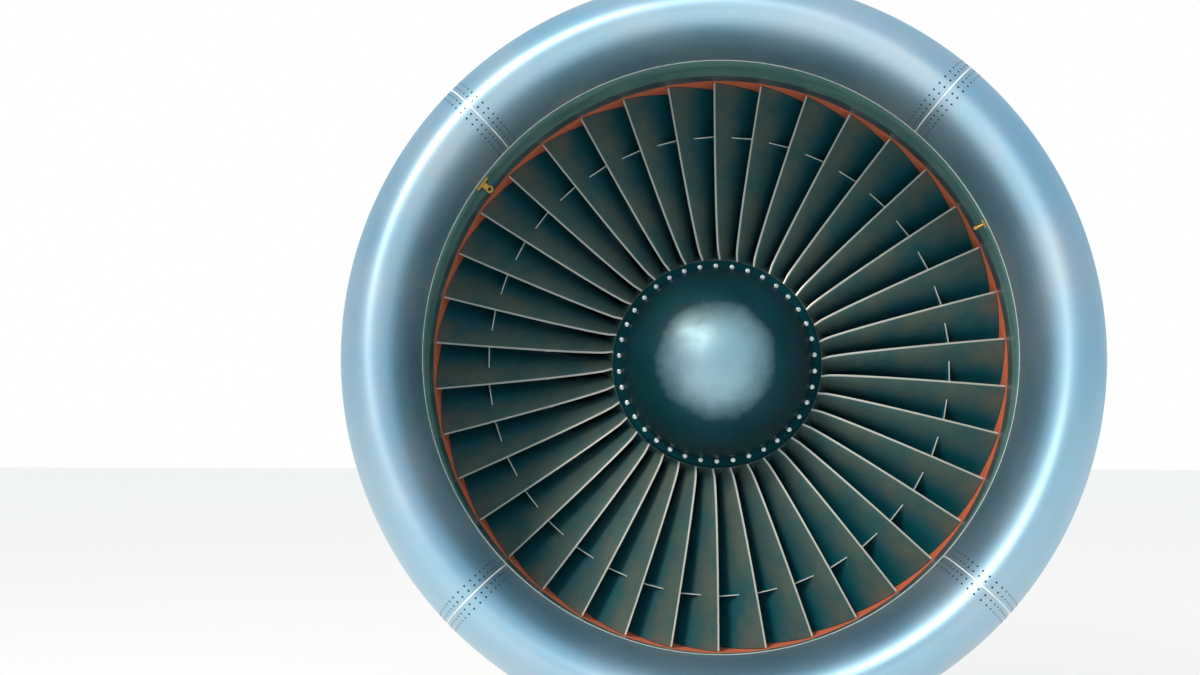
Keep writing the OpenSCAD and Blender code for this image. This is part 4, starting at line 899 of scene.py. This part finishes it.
def smooth_copy(node, slot, body):
    """A copy of a node's mesh, merged, with turns and stations as its UV map."""
    mesh = frame["nodes"][node].data.copy()
    bm = bmesh.new()
    bm.from_mesh(mesh)
    bmesh.ops.remove_doubles(bm, verts=bm.verts, dist=MERGE_WITHIN)
    bmesh.ops.dissolve_degenerate(bm, edges=bm.edges, dist=NO_LENGTH)
    layer = bm.loops.layers.uv.verify()
    for f in bm.faces:
        middle = f.calc_center_median() - AXIS
        base = math.atan2(middle.x, middle.z)
        for loop in f.loops:
            p = loop.vert.co - AXIS
            a = math.atan2(p.x, p.z)
            a += math.tau * round((base - a) / math.tau)
            loop[layer].uv = (a / math.tau, p.y)
    bm.to_mesh(mesh)
    bm.free()
    if mesh.attributes.get("custom_normal"):
        mesh.attributes.remove(mesh.attributes["custom_normal"])
    return finished(node + "_surface", mesh, slot, body, None, [node], CAD_SMOOTH_UP_TO)


def make_the_rest():
    """Smooth copies of all the nodes that no other piece stands for."""
    done = {n for o in bpy.context.scene.objects for n in o.get("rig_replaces", [])}
    slots = {s["node"]: s["material_slot"] for s in frame["record"]["subparts"]}
    for name, members in frame["record"]["behaviour"]["bodies"].items():
        for node in members:
            if node not in done:
                smooth_copy(node, slots[node], name)


# Trim of the cowls: screws along their edges, keel latches and an oil filling door
COWL_Y0, COWL_Y1 = FLANGE_Y - 0.015, 0.924
SLEEVE_Y0 = 0.990
SEAT = 0.0003
SLOT_ANGLE = 6.9
KEEL = 179.95
SCREW_SPACING = 0.036
EDGE_ROW = 0.014
SECOND_ROW = 0.034
LATCH_STATIONS = (-0.02, 0.22, 0.46, 0.70)
LATCH_LONG, KEEPER_LONG = 0.130, 0.060
LATCH_WIDE = 0.036
LATCH_CORNER, LATCH_HEIGHT = 0.008, 0.0016
LATCH_OFF = 0.026
BAND_GAP = 0.005
BAND_SUNK, BAND_PROUD = 0.002, 0.0004
OIL_DOOR_Y, OIL_DOOR_A = 0.19, 76.0
OIL_DOOR_SIZE = (0.300, 0.240)
OIL_DOOR_CORNER = 0.030
SEAL_WIDTH, SEAL_HEIGHT = 0.004, 0.0008
SEAL_STEPS = 6
OIL_LATCH_TURN = 3.6
OIL_LATCH_OFF = 0.05
OIL_LATCH = (0.040, 0.016, 0.005, 0.0014)
SUNK = -0.001


def skin_point(a, y, lift=0.0, across=0.0):
    """A point over the nacelle's skin, moved round the axis by a distance."""
    return at(outer(y) + lift, a + math.degrees(across / outer(y)), y)


def skin_row(a, y0, y1, n):
    """A row along the skin at a clock angle."""
    return [(skin_point(a, y), clock(a)[0]) for y in steps(y0, y1, n)]


def rounded(long, wide, corner, n=4):
    """Points round a rounded rectangle, as (along, across)."""
    points = []
    for sx, sy, turn in ((1, 1, 0), (-1, 1, 90), (-1, -1, 180), (1, -1, 270)):
        for q in steps(turn, turn + 90, n):
            t = math.radians(q)
            u = sx * (long / 2 - corner) + corner * math.cos(t)
            v = sy * (wide / 2 - corner) + corner * math.sin(t)
            points.append((u, v))
    return points


def skin_plate(a, y, long, wide, corner, height):
    """A thin plate on the skin with a rounded outline and a bevelled edge."""
    rings = []
    for shrink, lift in ((0, SUNK), (0, height * 0.5), (height, height)):
        outline = rounded(long - 2 * shrink, wide - 2 * shrink, corner - shrink)
        rings.append([skin_point(a, y + u, lift, v) for u, v in outline])
    return box_ring(rings)


def skin_frame(a, y, long, wide, corner, width, height):
    """A raised seal round a door in the skin."""
    rings = []
    for grow, lift in ((0, SUNK), (0, height), (width, height), (width, SUNK)):
        outline = rounded(long + 2 * grow, wide + 2 * grow, corner + grow, SEAL_STEPS)
        fine = []
        for (u0, v0), (u1, v1) in zip(outline, outline[1:] + outline[:1]):
            shares = [(u1 - u0, v1 - v0, t) for t in range(SEAL_STEPS)]
            fine += [(u0 + u * t / SEAL_STEPS, v0 + v * t / SEAL_STEPS) for u, v, t in shares]
        rings.append([skin_point(a, y + u, lift, v) for u, v in fine])
    n = len(rings[0])
    verts = [p for ring in rings for p in ring]
    faces = []
    for k in range(4):
        m = (k + 1) % 4
        faces += [(k * n + i, k * n + (i + 1) % n, m * n + (i + 1) % n, m * n + i) for i in range(n)]
    return verts, faces, [PLAIN_UV] * (4 * len(faces))


def make_cowl_trim():
    """What is fastened to the cowls and rides on them."""
    for side, s in (("left", -1), ("right", 1)):
        door, sleeve = "fan_cowl_%s_door" % side, "sleeve_%s" % side
        a0, a1 = sorted((s * (SLOT_ANGLE + 1.5), s * (KEEL - 0.8)))
        edges = (("fan_cowl", door, COWL_Y0, COWL_Y1), ("sleeve", sleeve, SLEEVE_Y0, NOZZLE_Y))
        for name, body, y0, y1 in edges:
            rows = []
            for y in (y0 + EDGE_ROW, y0 + SECOND_ROW, y1 - EDGE_ROW):
                rows.append(round_axis(outer(y), y, a0, a1, slope_of(outer, y)))
            for a in (a0, a1):
                rows.append(skin_row(a, y0 + 0.05, y1 - 0.03, 24))
            label = name + "_screws_" + side
            fasteners(label, rows, SCREW_SPACING, *SKIN_SCREW, FINISH["steel"], "steel", body)
        band = line(outer, COWL_Y1 + SEAT, SLEEVE_Y0 - BAND_GAP, 4)
        under = [(r - BAND_SUNK, y) for r, y in band[::-1]]
        over = [(r + BAND_PROUD, y) for r, y in band]
        b0, b1 = sorted((s * (SLOT_ANGLE + 0.1), s * (KEEL - 0.2)))
        turned("reverser_front_band_" + side, over + under, "nacelle_paint", "reverser_half_" + side, b0, b1)
        parts = []
        for y in LATCH_STATIONS:
            middle = s * (KEEL - math.degrees(LATCH_OFF / outer(y)))
            long = LATCH_LONG if s < 0 else KEEPER_LONG
            parts.append(skin_plate(middle, y, long, LATCH_WIDE, LATCH_CORNER, LATCH_HEIGHT))
        verts, faces, uvs = join(parts)
        piece("keel_latches_%s" % side, verts, faces, "steel", door, uvs)
    seal = (*OIL_DOOR_SIZE, OIL_DOOR_CORNER, SEAL_WIDTH, SEAL_HEIGHT)
    verts, faces, uvs = skin_frame(OIL_DOOR_A, OIL_DOOR_Y, *seal)
    piece("oil_door_seal", verts, faces, "nacelle_paint", "fan_cowl_right_door", uvs, DARK_SCREW)
    parts = []
    for turn in (-OIL_LATCH_TURN, OIL_LATCH_TURN):
        parts.append(skin_plate(OIL_DOOR_A + turn, OIL_DOOR_Y + OIL_LATCH_OFF, *OIL_LATCH))
    verts, faces, uvs = join(parts)
    piece("oil_door_latches", verts, faces, "steel", "fan_cowl_right_door", uvs)


# Camera, light and floor
PHOTO_W, PHOTO_H = 1200, 675
SENSOR = 36.0
LENS = 45.0
EYE = AXIS + Vector((0, -5.789, -0.241))
VANISH_X, VANISH_Y = 716.5, 427.0
FAR_CLIP = 200
FLOOR_Z = AXIS.z - OUTER_R - 0.75
FLOOR_SIZE = 120
FLOOR_TONE = (0.93, 0.93, 0.92)
SKY = (1, 1, 1, 1)
SKY_IN_METAL = (0.54, 0.70, 0.80, 1)
# Name, place from the fan's centre, size, watts and tone of each lamp
LAMPS = (
    ("overhead", (0, -1.0, 5.5), (8, 6), 30, (0.9, 0.97, 1)),
    ("front", (0.1, -8.8, 3.0), (10, 6), 20, (0.8, 0.94, 1)),
    ("key", (-3.4, -7.0, 4.4), (1.8, 1.8), 520, (1, 0.87, 0.74)),
)


def make_camera():
    """The photograph's camera, without roll, aimed by the vanishing point of the engine's axis."""
    data = bpy.data.cameras.new("camera")
    data.lens = LENS
    data.sensor_width = SENSOR
    data.clip_end = FAR_CLIP
    camera = bpy.data.objects.new("camera", data)
    bpy.context.scene.collection.objects.link(camera)
    focal = LENS / SENSOR * PHOTO_W
    yaw = math.atan((VANISH_X - PHOTO_W / 2) / focal)
    pitch = math.atan((VANISH_Y - PHOTO_H / 2) / math.hypot(focal, VANISH_X - PHOTO_W / 2))
    camera.location = EYE
    camera.rotation_euler = (math.pi / 2 + pitch, 0, yaw)
    bpy.context.scene.camera = camera


def lamp(name, off, size, power, tone):
    """A soft rectangular lamp that looks at the fan."""
    data = bpy.data.lights.new(name, "AREA")
    data.shape = "RECTANGLE"
    data.size, data.size_y = size
    data.energy = power
    data.color = tone
    made = bpy.data.objects.new(name, data)
    bpy.context.scene.collection.objects.link(made)
    made.location = AXIS + Vector(off)
    made.rotation_euler = (AXIS - made.location).to_track_quat("-Z", "Y").to_euler()


def make_stage():
    """A pale floor, a white sky that polished metal mirrors as blue grey, and the lamps."""
    bpy.ops.mesh.primitive_plane_add(size=FLOOR_SIZE, location=(0, 0, FLOOR_Z))
    floor = bpy.context.object
    floor.name = "floor"
    f = Finish("floor", FLOOR_TONE, 0.0, 0.8)
    floor.data.materials.append(f.mat)
    world = bpy.data.worlds.new("sky")
    bpy.context.scene.world = world
    world.use_nodes = True
    tree = world.node_tree
    back = tree.nodes["Background"]
    rays = tree.nodes.new("ShaderNodeLightPath")
    tint = tree.nodes.new("ShaderNodeMix")
    tint.data_type = "RGBA"
    tint.inputs[6].default_value = SKY
    tint.inputs[7].default_value = SKY_IN_METAL
    tree.links.new(rays.outputs["Is Glossy Ray"], tint.inputs[0])
    tree.links.new(tint.outputs[2], back.inputs["Color"])
    for each in LAMPS:
        lamp(*each)
    bpy.context.scene.view_settings.view_transform = "Standard"


make_camera()
make_stage()
make_lip()
make_barrels()
make_rub_ring()
make_fan()
make_spinner()
make_the_rest()
make_cowl_trim()
